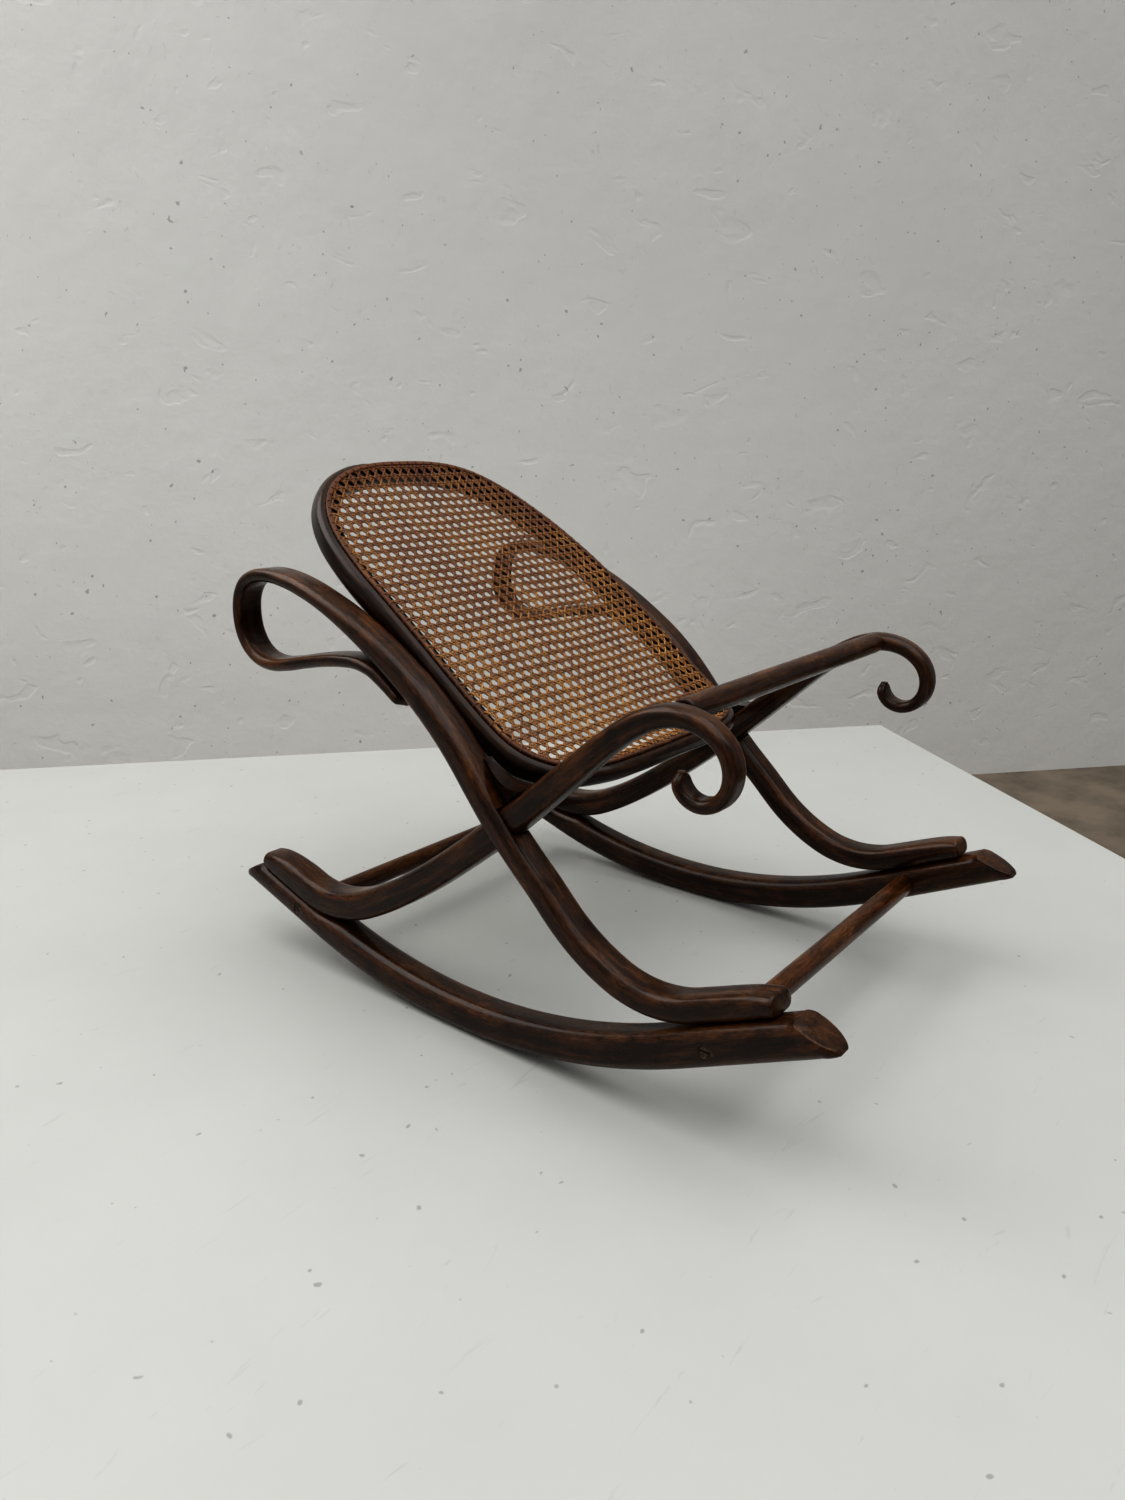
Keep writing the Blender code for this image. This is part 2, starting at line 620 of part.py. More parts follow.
def build():
    clear_scene()
    parts = new_collection("rocking_footrest")
    cutters = new_collection("cutters")
    paint = {name: make_material(name, *values) for name, values in FINISHES.items()}
    steel = paint["screw_steel"]

    surface = PanelSurface()
    loop = frame_loop()
    frame = band(
        "panel_frame", surface, loop, 0, FRAME_WIDTH, frame_underside, 0, FRAME_CORNER,
        paint["frame_wood"], parts,
    )
    cane_sheet("cane_panel", surface, loop, paint["woven_cane"], parts)
    cane_top = CANE_LIFT + CANE_THICKNESS + BINDER_LIFT
    binder_offset = FRAME_WIDTH / 2 - CANE_INSET - BINDER_WIDTH / 2
    band(
        "cane_binder", surface, loop, binder_offset, BINDER_WIDTH, lambda s: cane_top,
        cane_top + BINDER_THICKNESS, 0, paint["binder_cane"], parts, 0,
    )

    rod_half = HALF - ROCKER_WIDTH - GAP
    rods = {}
    for name, axis in (("front", FRONT_STRETCHER_YZ), ("back", BACK_STRETCHER_YZ)):
        rods[name] = dowel(
            name + "_stretcher", axis, rod_half, STRETCHER_RADIUS, 20,
            paint["stretcher_wood"], parts,
        )
    top_rail("top_rail", paint["top_rail_wood"], parts)

    for side, label in ((-1, "left"), (1, "right")):
        runner = rocker("rocker_" + label, side, paint["rocker_wood"], parts)
        back_rail = bent_rail(
            "back_scroll_rail_" + label, back_rail_stations(), side, paint["back_rail_wood"], parts
        )
        front_rail = bent_rail(
            "front_scroll_rail_" + label, front_rail_stations(), side, paint["front_rail_wood"], parts
        )
        corner_block("corner_block_" + label, side, paint["block_wood"], parts)

        notch_reach = 60 * MM
        notch = box_cutter(
            "notch_" + label,
            Vector((side * (HALF - NOTCH_OUTER - notch_reach / 2), CROSSING_YZ[0] + SHIFT_Y, CROSSING_YZ[1])),
            CROSSING_ANGLE,
            (notch_reach, 90 * MM, 2 * NOTCH_HALF),
            cutters,
        )
        cut(back_rail, notch)
        seat = foot_seat(side, cutters)
        cut(back_rail, seat)
        cut(front_rail, seat)
        cut(front_rail, tenon_hole(side, cutters))

        for name, axis, slot_turn in (
            ("front", FRONT_STRETCHER_YZ, math.radians(-5)),
            ("back", BACK_STRETCHER_YZ, math.radians(25)),
        ):
            add_screw(
                f"{name}_stretcher_screw_{label}",
                (side * (HALF - RECESS), axis[0] + SHIFT_Y, axis[1]),
                (-side, 0, 0), 52 * MM, (runner, rods[name]), slot_turn, steel, parts, cutters,
            )

        for name, y_bottom, rail in (("front", -273 * MM, back_rail), ("back", 250 * MM, front_rail)):
            path = rocker_underside()
            ys = [row[0] for row in path]
            z_bottom = float(np.interp(y_bottom, ys, [row[1] for row in path]))
            turn = float(np.interp(y_bottom, ys, [row[2] for row in path]))
            normal = Vector((0, -math.sin(turn), math.cos(turn)))
            origin = Vector((side * (HALF - ROCKER_WIDTH / 2), y_bottom + SHIFT_Y, z_bottom))
            length = 2 * rocker_half(y_bottom) + 11 * MM
            add_screw(
                f"{name}_foot_screw_{label}", origin + normal * RECESS, normal, length,
                (runner, rail), math.radians(60), steel, parts, cutters,
            )

        add_screw(
            "crossing_screw_" + label,
            (side * (HALF - 40 * MM + RECESS), CROSSING_YZ[0] + SHIFT_Y, CROSSING_YZ[1]),
            (side, 0, 0), 32 * MM, (front_rail, back_rail), math.radians(10), steel, parts, cutters,
        )

        for index, s in ((1, 130 * MM), (2, 200 * MM)):
            inner = surface.place(side * (158 * MM - FRAME_WIDTH / 2 + RECESS), s, -FRAME_DEPTH / 2)
            add_screw(
                f"panel_screw_{label}_{index}", inner, (side, 0, 0), 36 * MM,
                (frame, back_rail), math.radians(45), steel, parts, cutters,
            )


build()
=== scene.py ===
"""Looks for the bentwood rocking footrest: finely made bent wood, a woven cane panel, its binder,
the screws, a pale table top with a pale wall behind it, and soft light."""

import math

import bmesh
import bpy
import numpy as np
from mathutils import Matrix, Vector


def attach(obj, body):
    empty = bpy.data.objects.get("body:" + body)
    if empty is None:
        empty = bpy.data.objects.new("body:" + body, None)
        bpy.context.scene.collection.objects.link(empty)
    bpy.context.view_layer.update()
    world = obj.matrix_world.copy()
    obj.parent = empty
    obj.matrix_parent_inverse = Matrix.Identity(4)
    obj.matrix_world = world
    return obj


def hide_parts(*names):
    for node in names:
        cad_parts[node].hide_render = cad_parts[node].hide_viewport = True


MM = 0.001
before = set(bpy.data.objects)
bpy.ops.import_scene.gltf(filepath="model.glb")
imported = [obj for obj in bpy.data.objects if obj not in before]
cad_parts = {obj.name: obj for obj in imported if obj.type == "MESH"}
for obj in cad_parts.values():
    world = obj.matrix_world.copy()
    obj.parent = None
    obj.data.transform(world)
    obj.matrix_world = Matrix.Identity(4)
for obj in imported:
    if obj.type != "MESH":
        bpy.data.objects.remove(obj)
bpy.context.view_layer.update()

# Design of the object. The outlines and sizes are those of the CAD source; a name in _MM is a
# table in millimetres. Rail rows: y, z, half thickness, and for the front rail inset and width.
WIDTH = 410 * MM
HALF = WIDTH / 2
SHIFT_Y = 16.9 * MM
GAP = 0.3 * MM
STEP = 5 * MM
TURN = math.radians(5)
RING_STEPS = 6

ROCKER_WIDTH = 32 * MM
ROCKER_CORNER = 10.5 * MM
CONTACT_Y = 8 * MM
CONTACT_HALF = 12.5 * MM
FRONT_RADIUS = 540 * MM
FRONT_ANGLE = math.radians(25.6)
FRONT_STRAIGHT = 108 * MM
BACK_RADIUS = 600 * MM
BACK_ANGLE = math.radians(18.7)
BACK_STRAIGHT = 96 * MM
# The slanted end cuts bulge a little, so the length is brought back to the real one.
ROCKER_LENGTH_TRIM = 0.9988
# End cuts, in half thicknesses: the plane's height and slope, its run, and the last ring.
CUT_STEPS = 32
CUT_RUN = 1.62
CUT_HEIGHT, CUT_SLOPE, CUT_SOFTNESS = 2.06, 1.07, 0.0025
CUT_END_REACH, CUT_END_TOP, CUT_END_NARROW = 1.645, 0.72, 0.56
# Half the rocker's depth along its length: y, half depth.
ROCKER_HALF_MM = ((-340, 14.5), (-220, 15.7), (175, 15.7), (206, 12.7), (320, 12.4))

BACK_RAIL_OUTER = 5 * MM
BACK_RAIL_WIDTH = 30 * MM
BACK_RAIL_MM = (
    (-292.2, 127.7, 8.2), (-280.7, 123.9, 9.3), (-262.2, 116.3, 10), (-239.3, 106.3, 10.5),
    (-216.4, 97.4, 10.8), (-190, 94, 11), (-165, 97.5, 11), (-142, 107, 11),
    (-123, 118.5, 11), (-107, 131, 11), (-81.7, 156, 11), (-53.5, 183, 11),
    (-30, 208.5, 11.2), (-15, 227, 11.3), (2, 248.5, 11.3), (21, 269.5, 11.2),
    (46.9, 293, 11), (75, 313.5, 10.6), (102.8, 331.5, 10), (134.3, 349, 9),
    (161.2, 361.5, 8), (188.8, 371.8, 7.2), (216, 379, 6.6), (242, 382, 6.2),
    (263, 380, 6), (279, 372.5, 5.8), (288.5, 359, 5.6), (291.5, 342, 5.5),
    (289, 325, 5.5), (280, 310.5, 5.6), (265, 301, 5.8), (246, 298, 6),
    (222, 300.8, 6), (196, 306.3, 5.9), (168, 311.5, 5.8), (142, 314.6, 5.8),
    (122, 314.8, 5.7), (105, 310.6, 5.4), (90, 302.4, 5), (76.5, 293.4, 4.5),
    (67.5, 286.8, 3.8),
)
FRONT_RAIL_MM = (
    (-205.5, 277, 3.4, 14.5, 17), (-206, 268, 4.5, 13, 20), (-212.5, 260, 5.1, 13, 20),
    (-224, 256.6, 5.3, 13, 20), (-236, 260.5, 5.5, 13, 20), (-244.5, 270.5, 5.7, 13, 20),
    (-247, 284, 5.9, 13, 20.5), (-242.5, 298, 6.2, 13, 21), (-231, 309.5, 6.7, 13, 21.5),
    (-215, 316, 7.4, 13, 22), (-197, 317, 8.4, 13, 22.5), (-180, 312.5, 9, 13, 23),
    (-160, 301.5, 9.3, 13, 24), (-135, 282.5, 9.8, 13, 25), (-110, 260.5, 10.6, 13, 26),
    (-85, 238.5, 11.4, 12.5, 27), (-60, 216.8, 12, 12.2, 28), (-39, 198.6, 12.3, 12, 28),
    (-18, 181.4, 12.4, 11.5, 28), (12.2, 157.6, 12.5, 10, 28.5), (50.6, 129, 12.8, 8, 29),
    (88.5, 104.2, 13.2, 6, 29.5), (115, 89.6, 13.6, 4.5, 30), (139, 78.8, 13.9, 3.3, 30),
    (162, 72.8, 14, 2.4, 30), (184, 71.3, 14, 1.8, 30), (205, 74.1, 13.8, 1.5, 30),
    (228, 81.4, 13.5, 1.5, 30), (250, 87.7, 12.3, 1.5, 29.5), (266, 90.6, 10.2, 2, 29),
    (274, 91.4, 8.4, 2.4, 28.2),
)
RAIL_CORNER = 7.5 * MM
BACK_TIP_ROUNDING = 7 * MM
FRONT_TIP_ROUNDING = 8 * MM
# A rail's rounded end: reach ahead in half thicknesses, and scale of the section.
END_SCALES = (
    (0, 1), (0.07, 0.993), (0.15, 0.965), (0.22, 0.92), (0.28, 0.86),
    (0.32, 0.79), (0.345, 0.7), (0.36, 0.5), (0.368, 0.25),
)
CROSSING_YZ = (-39.0 * MM, 198.6 * MM)
CROSSING_ANGLE = math.radians(-40.6)
NOTCH_HALF = 12.9 * MM
NOTCH_OUTER = 11.6 * MM
NOTCH_SIZE = (60 * MM, 90 * MM, 2 * NOTCH_HALF)

BLOCK_CORNER = (-39.5 * MM, 215.6 * MM)
BLOCK_BACK_ANGLE = math.radians(51.8)
BLOCK_FRONT_ANGLE = math.radians(139.4)
BLOCK_ALONG_BACK = 44 * MM
BLOCK_ALONG_FRONT = 28 * MM
BLOCK_OUTER = 12.6 * MM
BLOCK_INNER = 34.6 * MM
BLOCK_FALL = 13 * MM
BLOCK_EASE = 1.2 * MM
BLOCK_STEPS = 14

FRONT_STRETCHER_YZ = (-246 * MM, 79.4 * MM)
BACK_STRETCHER_YZ = (222 * MM, 55.3 * MM)
STRETCHER_RADIUS = 9.8 * MM
STRETCHER_SHOULDER = 1.2 * MM
TOP_RAIL_YZ = (-197 * MM, 317.5 * MM)
TOP_RAIL_RADIUS = 9.6 * MM
TOP_RAIL_INSET = 36 * MM
TOP_RAIL_SHOULDER = 2.2 * MM
ROD_SIDES = 32

# The cane's curve in the side plane (y, z), and half the frame's centre line (x, along the panel).
PANEL_PROFILE_MM = (
    (-90, 236.5), (-55, 243.0), (-20, 259.5), (20, 289.5), (70, 329.0), (122, 368.0),
    (170, 401.0), (215, 433.0), (245, 458.5), (265, 480.0),
)
FRAME_LOOP_MM = (
    (0, 11), (60, 11), (100, 15), (131, 31), (150, 60), (156.5, 100), (158, 150), (158, 200),
    (157.5, 250), (154.5, 300), (146, 345), (129, 382), (103, 409), (66, 425), (0, 431),
)
FRAME_WIDTH = 23 * MM
FRAME_DEPTH = 24 * MM
FRAME_FRONT_DEPTH = 16 * MM
FRAME_THINNED_TO = 60 * MM
FRAME_CORNER = 8 * MM
CANE_INSET = 7.5 * MM
BINDER_WIDTH = 4.8 * MM
BINDER_REACH = FRAME_WIDTH / 2 - CANE_INSET - BINDER_WIDTH / 2
BINDER_BOTTOM, BINDER_TOP = 0.25 * MM, 2.7 * MM
BINDER_CORNER, BINDER_CROWN = 0.9 * MM, 0.3 * MM
STITCH_WIDTH = 1.9 * MM
# A stitch's path over the binder (half widths out, mm up) and its section (widths across, mm up).
STITCH_ARC = (
    (-1.18, 0.25), (-1.08, 1.2), (-0.82, 2.45), (-0.35, 3.1),
    (0.35, 3.1), (0.82, 2.45), (1.08, 1.2), (1.18, 0.25),
)
STITCH_SECTION = ((-0.5, 0.0), (-0.26, 0.42), (0.26, 0.42), (0.5, 0.0))

SCREW_HEAD_RADIUS = 4.4 * MM
SCREW_HEAD_DEPTH = 3.2 * MM
SCREW_SHANK_RADIUS = 2.4 * MM
SCREW_HOLE_DEPTH = 12 * MM
RECESS = 0.6 * MM

# Weave: one hole of the frame, and one open cell of the cane, per pitch.
PITCH = 11.4 * MM
PAIR_SPACING = 2.5 * MM
STRAND_WIDTH = 1.85 * MM
DIAGONAL_WIDTH = 2.05 * MM
STRAND_THICKNESS = 0.5 * MM
WEAVE_LIFT = 1.35 * MM
PAIR_WAVE = 0.42 * MM
DIAGONAL_WAVE = 0.72 * MM
DIAGONAL_LIFT = 0.05 * MM
BELL_WIDTH = PAIR_SPACING * 0.42
COLUMNS = 15
ROWS = 21
SAMPLE = PITCH / 8
# Section of a strand: across and up, in widths and thicknesses.
STRAND_PROFILE = ((-0.5, 0.0), (-0.36, 0.72), (0.0, 1.0), (0.36, 0.72), (0.5, 0.0))

# Colours of the stained beech, the cane and the steel.
WOOD_DARK = (0.0068, 0.0025, 0.0013)
WOOD_MIDDLE = (0.019, 0.007, 0.0028)
WOOD_LIGHT = (0.076, 0.0265, 0.009)
# Rubbed colour: used for wear, and on upper faces also as painted light.
WOOD_RUBBED_AND_LIT = ((0.3, (0.078, 0.028, 0.0075)), (0.7, (0.205, 0.08, 0.021)))
CANE_STOPS = ((0.32, (0.12, 0.044, 0.0115)), (0.5, (0.32, 0.142, 0.033)), (0.66, (0.56, 0.305, 0.085)))
BINDER_STOPS = ((0.36, (0.05, 0.019, 0.0075)), (0.54, (0.11, 0.043, 0.0145)), (0.7, (0.33, 0.165, 0.048)))
CANE_TINTS = (
    ("lengthwise", (0.92, 0.9, 0.88), 1), ("crosswise", (0.86, 0.82, 0.8), 2),
    ("rising", (1.1, 1.08, 1.04), 3), ("falling", (1.02, 1.00, 0.98), 4),
)
CANE_OLD = (0.15, 0.05, 0.015)
CANE_LINE = (0.075, 0.027, 0.009)
CANE_KNOT = (0.03, 0.011, 0.005)
# Colour of the strand edges: partly dirt, partly painted shade in the crevices of the weave.
CANE_DIRT_AND_SHADE = (0.02, 0.0075, 0.0035)
STEEL_STOPS = ((0.35, (0.1, 0.085, 0.07)), (0.55, (0.055, 0.042, 0.032)), (0.7, (0.1, 0.045, 0.02)))

# Stage: a table top with one corner in view, a wall some way behind it and a floor below.
TABLE_CORNER = (1.033, 0.141)
TABLE_ANGLE = math.radians(40.9)
WALL_ALONG = Vector((-math.cos(TABLE_ANGLE), math.sin(TABLE_ANGLE), 0))
WALL_BEYOND = Vector((math.sin(TABLE_ANGLE), math.cos(TABLE_ANGLE), 0))
TABLE_THICKNESS = 0.03
TABLE_LENGTH, TABLE_DEPTH = 4.2, 4.6
WALL_BEHIND = 0.42
WALL_LEFT, WALL_RIGHT = 6.5, 5.0
WALL_TOP, WALL_THICKNESS = 3.2, 0.1
FLOOR_LEVEL = -0.256
FLOOR_DEPTH = 9
TABLE_COLOUR = (0.475, 0.48, 0.46)
WALL_COLOUR = (0.51, 0.51, 0.495)
FLOOR_COLOUR = (0.2, 0.165, 0.125)

# Light: each lamp's distance ahead of the camera, to its right, and height, then its size and power.
DAYLIGHT_STRENGTH = 0.8
SKY_STOPS = ((0.0, (0.16, 0.155, 0.15)), (0.45, (0.42, 0.42, 0.42)), (1.0, (1.0, 1.0, 1.0)))
WINDOW_PLACE, WINDOW_TARGET = (1.25, -1.45, 1.75), (0.1, 0, 0.15)
WINDOW_SIZE, WINDOW_POWER = (1.8, 1.3), 18
SKYLIGHT_PLACE, SKYLIGHT_TARGET = (0.8, 0.75, 3.0), (2.0, 0, 0.1)
SKYLIGHT_SIZE, SKYLIGHT_POWER = (4.0, 3.0), 52
WASH_ALONG, WASH_BEHIND, WASH_DROP, WASH_RISE = 1.3, 0.08, 0.12, 0.55
WASH_SIZE, WASH_POWER = (2.4, 0.2), 0.55
WARM_WHITE = (1.0, 0.99, 0.97)
COOL_WHITE = (0.99, 0.99, 1.0)

# Camera, in metres
CAMERA_PLACE = (-0.7839, -0.5612, 0.5013)
CAMERA_HEADING = math.radians(38.6)
CAMERA_PITCH = math.radians(16.47)
AHEAD = Vector((math.cos(CAMERA_HEADING), math.sin(CAMERA_HEADING), 0))
RIGHT = Vector((math.sin(CAMERA_HEADING), -math.cos(CAMERA_HEADING), 0))
CAMERA_LENS = 25.07
SENSOR_HEIGHT = 36


# ---------------- materials
def node_material(name):
    material = bpy.data.materials.new(name)
    material.use_nodes = True
    tree = material.node_tree
    return material, tree, tree.nodes["Principled BSDF"]


def set_inputs(node, **values):
    """Sets a node's inputs by name, with _ for a space."""
    for key, value in values.items():
        node.inputs[key.replace("_", " ")].default_value = value


def geometry(tree, output):
    return tree.nodes.new("ShaderNodeNewGeometry").outputs[output]


def attribute(tree, name, output):
    node = tree.nodes.new("ShaderNodeAttribute")
    node.attribute_name = name
    return node.outputs[output]


def grain_vector(tree, offset):
    """The 'grain' attribute moved by offset, so that no two members share a pattern."""
    shifted = tree.nodes.new("ShaderNodeVectorMath")
    shifted.operation = "ADD"
    tree.links.new(attribute(tree, "grain", "Vector"), shifted.inputs[0])
    shifted.inputs[1].default_value = offset
    return shifted.outputs["Vector"]


def axis_z(tree, vector):
    parts = tree.nodes.new("ShaderNodeSeparateXYZ")
    tree.links.new(vector, parts.inputs[0])
    return parts.outputs["Z"]


def ramp(tree, source, stops):
    """Colour ramp fed by source, with (position, colour) stops."""
    node = tree.nodes.new("ShaderNodeValToRGB")
    elements = node.color_ramp.elements
    while len(elements) < len(stops):
        elements.new(0.5)
    for element, (position, colour) in zip(elements, stops):
        element.position = position
        element.color = (*colour, 1.0)
    tree.links.new(source, node.inputs["Fac"])
    return node.outputs["Color"]


def spread(tree, source, low, high, out_low=0.0, out_high=1.0):
    """Maps source from the range low..high to out_low..out_high, clamped."""
    node = tree.nodes.new("ShaderNodeMapRange")
    set_inputs(node, From_Min=low, From_Max=high, To_Min=out_low, To_Max=out_high)
    tree.links.new(source, node.inputs["Value"])
    return node.outputs["Result"]


def mix_colour(tree, factor, a, b):
    node = tree.nodes.new("ShaderNodeMix")
    node.data_type = "RGBA"
    for value, index in ((factor, 0), (a, 6), (b, 7)):
        if isinstance(value, tuple):
            node.inputs[index].default_value = (*value, 1.0)
        else:
            tree.links.new(value, node.inputs[index])
    return node.outputs[2]


def maths(tree, operation, a, b):
    """A Math node on sockets or numbers, its result kept between 0 and 1."""
    node = tree.nodes.new("ShaderNodeMath")
    node.operation = operation
    node.use_clamp = True
    for value, socket in zip((a, b), node.inputs):
        if isinstance(value, (float, int)):
            socket.default_value = value
        else:
            tree.links.new(value, socket)
    return node.outputs[0]


def added(tree, a, b):
    return maths(tree, "ADD", a, b)


def times(tree, a, b):
    return maths(tree, "MULTIPLY", a, b)


def noise(tree, vector, scale, detail, roughness, distortion=0.0):
    mapping = tree.nodes.new("ShaderNodeMapping")
    set_inputs(mapping, Scale=scale)
    tree.links.new(vector, mapping.inputs["Vector"])
    node = tree.nodes.new("ShaderNodeTexNoise")
    set_inputs(node, Scale=1.0, Detail=detail, Roughness=roughness, Distortion=distortion)
    tree.links.new(mapping.outputs["Vector"], node.inputs["Vector"])
    return node.outputs["Fac"]


def relief(tree, shader, height, strength, distance):
    bump = tree.nodes.new("ShaderNodeBump")
    set_inputs(bump, Strength=strength, Distance=distance)
    tree.links.new(height, bump.inputs["Height"])
    tree.links.new(bump.outputs["Normal"], shader.inputs["Normal"])


def scaled(colour, factor):
    return tuple(c * factor for c in colour)


def wood_material(name, offset, wear, depth):
    """Dark stained bent beech. Grain runs with the 'grain' attribute, whose X is the distance along
    the member; wear follows the 'edge' attribute and broad patches, and upper faces are lightened partly as
    wear and partly as painted light from above. depth scales the stain."""
    material, tree, shader = node_material(name)
    grain = grain_vector(tree, (offset, offset * 0.37, offset * 0.71))
    streaks = noise(tree, grain, (14, 190, 190), 5.0, 0.62, 0.4)
    fibre = noise(tree, grain, (75, 1400, 1400), 2.0, 0.6)
    fleck = noise(tree, grain, (160, 900, 900), 1.0, 0.5)
    patches = noise(tree, grain, (16, 34, 34), 4.0, 0.6, 0.8)
    mottle = noise(tree, grain, (45, 110, 110), 5.0, 0.65, 0.5)

    dark, middle, light = (scaled(c, depth) for c in (WOOD_DARK, WOOD_MIDDLE, WOOD_LIGHT))
    colour = ramp(tree, streaks, ((0.3, dark), (0.52, middle), (0.74, light)))
    colour = mix_colour(tree, spread(tree, fibre, 0.42, 0.66, 0.0, 0.45), colour, dark)
    colour = mix_colour(tree, spread(tree, fleck, 0.62, 0.7, 0.0, 0.7), colour, scaled(dark, 0.45))

    # Upper faces are made lighter: partly wear, partly painted light falling from above.
    facing_up_painted_light = spread(tree, axis_z(tree, geometry(tree, "Normal")), 0.15, 0.95, 0.0, 0.75)
    worn_patch = times(tree, spread(tree, patches, 0.48, 0.66), 0.55)
    worn_edge = times(tree, attribute(tree, "edge", "Fac"), spread(tree, mottle, 0.44, 0.6, 0.0, 0.8))
    worn_and_lit_top = times(tree, facing_up_painted_light, spread(tree, patches, 0.36, 0.62, 0.15, 1.0))
    worn_and_lit = times(tree, added(tree, added(tree, worn_patch, worn_edge), worn_and_lit_top), wear)
    broken = spread(tree, fleck, 0.3, 0.62, 1.0, 0.35)
    colour = mix_colour(tree, times(tree, worn_and_lit, broken), colour, ramp(tree, streaks, WOOD_RUBBED_AND_LIT))
    tree.links.new(colour, shader.inputs["Base Color"])

    tree.links.new(spread(tree, mottle, 0.3, 0.7, 0.22, 0.4), shader.inputs["Roughness"])
    set_inputs(shader, Specular_IOR_Level=0.2, Coat_Weight=0.17, Coat_Roughness=0.1)
    relief(tree, shader, added(tree, times(tree, fibre, 0.5), times(tree, streaks, 0.5)), 0.22, 0.0004)
    return material


def cane_material(name, tint, seed, stops):
    """Cane with fine lengthwise lines, dark dirt and painted shade along both edges of the strand, brown
    patches and a redder, darker tone toward the top of the panel."""
    material, tree, shader = node_material(name)
    grain = grain_vector(tree, (seed, seed * 0.61, seed * 0.29))
    position = geometry(tree, "Position")
    lines = noise(tree, grain, (90, 3200, 900), 2.0, 0.6)
    tone = noise(tree, grain, (30, 160, 160), 3.0, 0.65)
    knots = noise(tree, grain, (240, 300, 300), 2.0, 0.6)
    patches = noise(tree, position, (11, 11, 11), 4.0, 0.6, 0.5)

    colour = ramp(tree, tone, [(at, tuple(c * t for c, t in zip(stop, tint))) for at, stop in stops])
    old = added(tree, spread(tree, patches, 0.42, 0.62, 0.0, 0.5),
                spread(tree, axis_z(tree, position), 0.3, 0.47, 0.0, 0.5))
    colour = mix_colour(tree, old, colour, CANE_OLD)
    colour = mix_colour(tree, spread(tree, lines, 0.5, 0.68, 0.0, 0.45), colour, CANE_LINE)
    colour = mix_colour(tree, spread(tree, knots, 0.6, 0.68, 0.0, 0.7), colour, CANE_KNOT)
    # Both edges of each strand are darkened: partly dirt, partly painted shade in the crevices between strands.
    edge_dirt_and_shade = spread(tree, attribute(tree, "edge", "Fac"), 0.25, 0.95, 0.0, 0.85)
    colour = mix_colour(tree, edge_dirt_and_shade, colour, CANE_DIRT_AND_SHADE)
    tree.links.new(colour, shader.inputs["Base Color"])

    tree.links.new(spread(tree, tone, 0.3, 0.7, 0.36, 0.56), shader.inputs["Roughness"])
    set_inputs(shader, Specular_IOR_Level=0.35)
    relief(tree, shader, lines, 0.3, 0.0002)
    return material


def steel_material(name):
    """Old blued steel, browned by age."""
    material, tree, shader = node_material(name)
    position = geometry(tree, "Position")
    spots = noise(tree, position, (420, 420, 420), 4.0, 0.6)
    fine = noise(tree, position, (2200, 2200, 2200), 2.0, 0.6)
    tree.links.new(ramp(tree, spots, STEEL_STOPS), shader.inputs["Base Color"])
    tree.links.new(spread(tree, spots, 0.3, 0.7, 0.35, 0.65), shader.inputs["Roughness"])
    set_inputs(shader, Metallic=0.9)
    relief(tree, shader, fine, 0.25, 0.0002)
    return material


# ---------------- geometry
def smooth_path(points, closed=False):
    """Catmull-Rom curve through the rows of points, cut finely enough to look round."""
    rows = np.array(points, float)
    count = len(rows)
    spans = count if closed else count - 1
    path = []
    for i in range(spans):
        if closed:
            before, start, end, after = rows[np.arange(i - 1, i + 3) % count]
        else:
            start, end = rows[i], rows[i + 1]
            before = rows[i - 1] if i else 2 * start - end
            after = rows[i + 2] if i + 2 < count else 2 * end - start
        length = np.linalg.norm((end - start)[:2])
        into, out = (start - before)[:2], (after - end)[:2]
        turn = abs(math.atan2(into[0] * out[1] - into[1] * out[0], into @ out)) / 2
        steps = max(1, math.ceil(length / STEP), math.ceil(turn / TURN))
        chords = [np.linalg.norm((b - a)[:2]) for a, b in ((before, start), (start, end), (end, after))]
        slope_in = ((start - before) / chords[0] + (end - start) / chords[1]) / 2 * length
        slope_out = ((end - start) / chords[1] + (after - end) / chords[2]) / 2 * length
        for k in range(steps):
            t = k / steps
            path.append(
                (2 * t**3 - 3 * t**2 + 1) * start
                + (t**3 - 2 * t**2 + t) * slope_in
                + (3 * t**2 - 2 * t**3) * end
                + (t**3 - t**2) * slope_out
            )
    if not closed:
        path.append(rows[-1])
    return np.array(path)


def directions(path, closed=False):
    """Unit tangents at the points of the path."""
    if closed:
        ahead, behind = np.roll(path, -1, axis=0), np.roll(path, 1, axis=0)
    else:
        ahead = np.vstack([path[1:], path[-1]])
        behind = np.vstack([path[0], path[:-1]])
    tangents = ahead - behind
    return tangents / np.linalg.norm(tangents, axis=1)[:, None]


def distances(path):
    """Distance of each point along the path from its first."""
    return np.concatenate([[0], np.cumsum(np.linalg.norm(np.diff(path, axis=0), axis=1))])


def round_corner(quarter, centre, reach, steps=RING_STEPS):
    """(a, b, edge) points round one corner of a section; edge is 1 at its middle."""
    points = []
    for step in range(steps + 1):
        part = step / steps
        angle = math.radians(90 * (quarter + part))
        a, b = centre[0] + reach[0] * math.cos(angle), centre[1] + reach[1] * math.sin(angle)
        points.append((a, b, 1 - abs(2 * part - 1)))
    return points


def rounded_ring(half_a, half_b, corner, steps=RING_STEPS):
    """Ring of a rounded rectangle."""
    corner = min(corner, half_a * 0.97, half_b * 0.97)
    ring = []
    for quarter, (sign_a, sign_b) in enumerate(((1, 1), (-1, 1), (-1, -1), (1, -1))):
        centre = sign_a * (half_a - corner), sign_b * (half_b - corner)
        ring += round_corner(quarter, centre, (corner, corner), steps)
    return ring


def linked_object(name, mesh):
    obj = bpy.data.objects.new(name, mesh)
    bpy.context.scene.collection.objects.link(obj)
    return obj


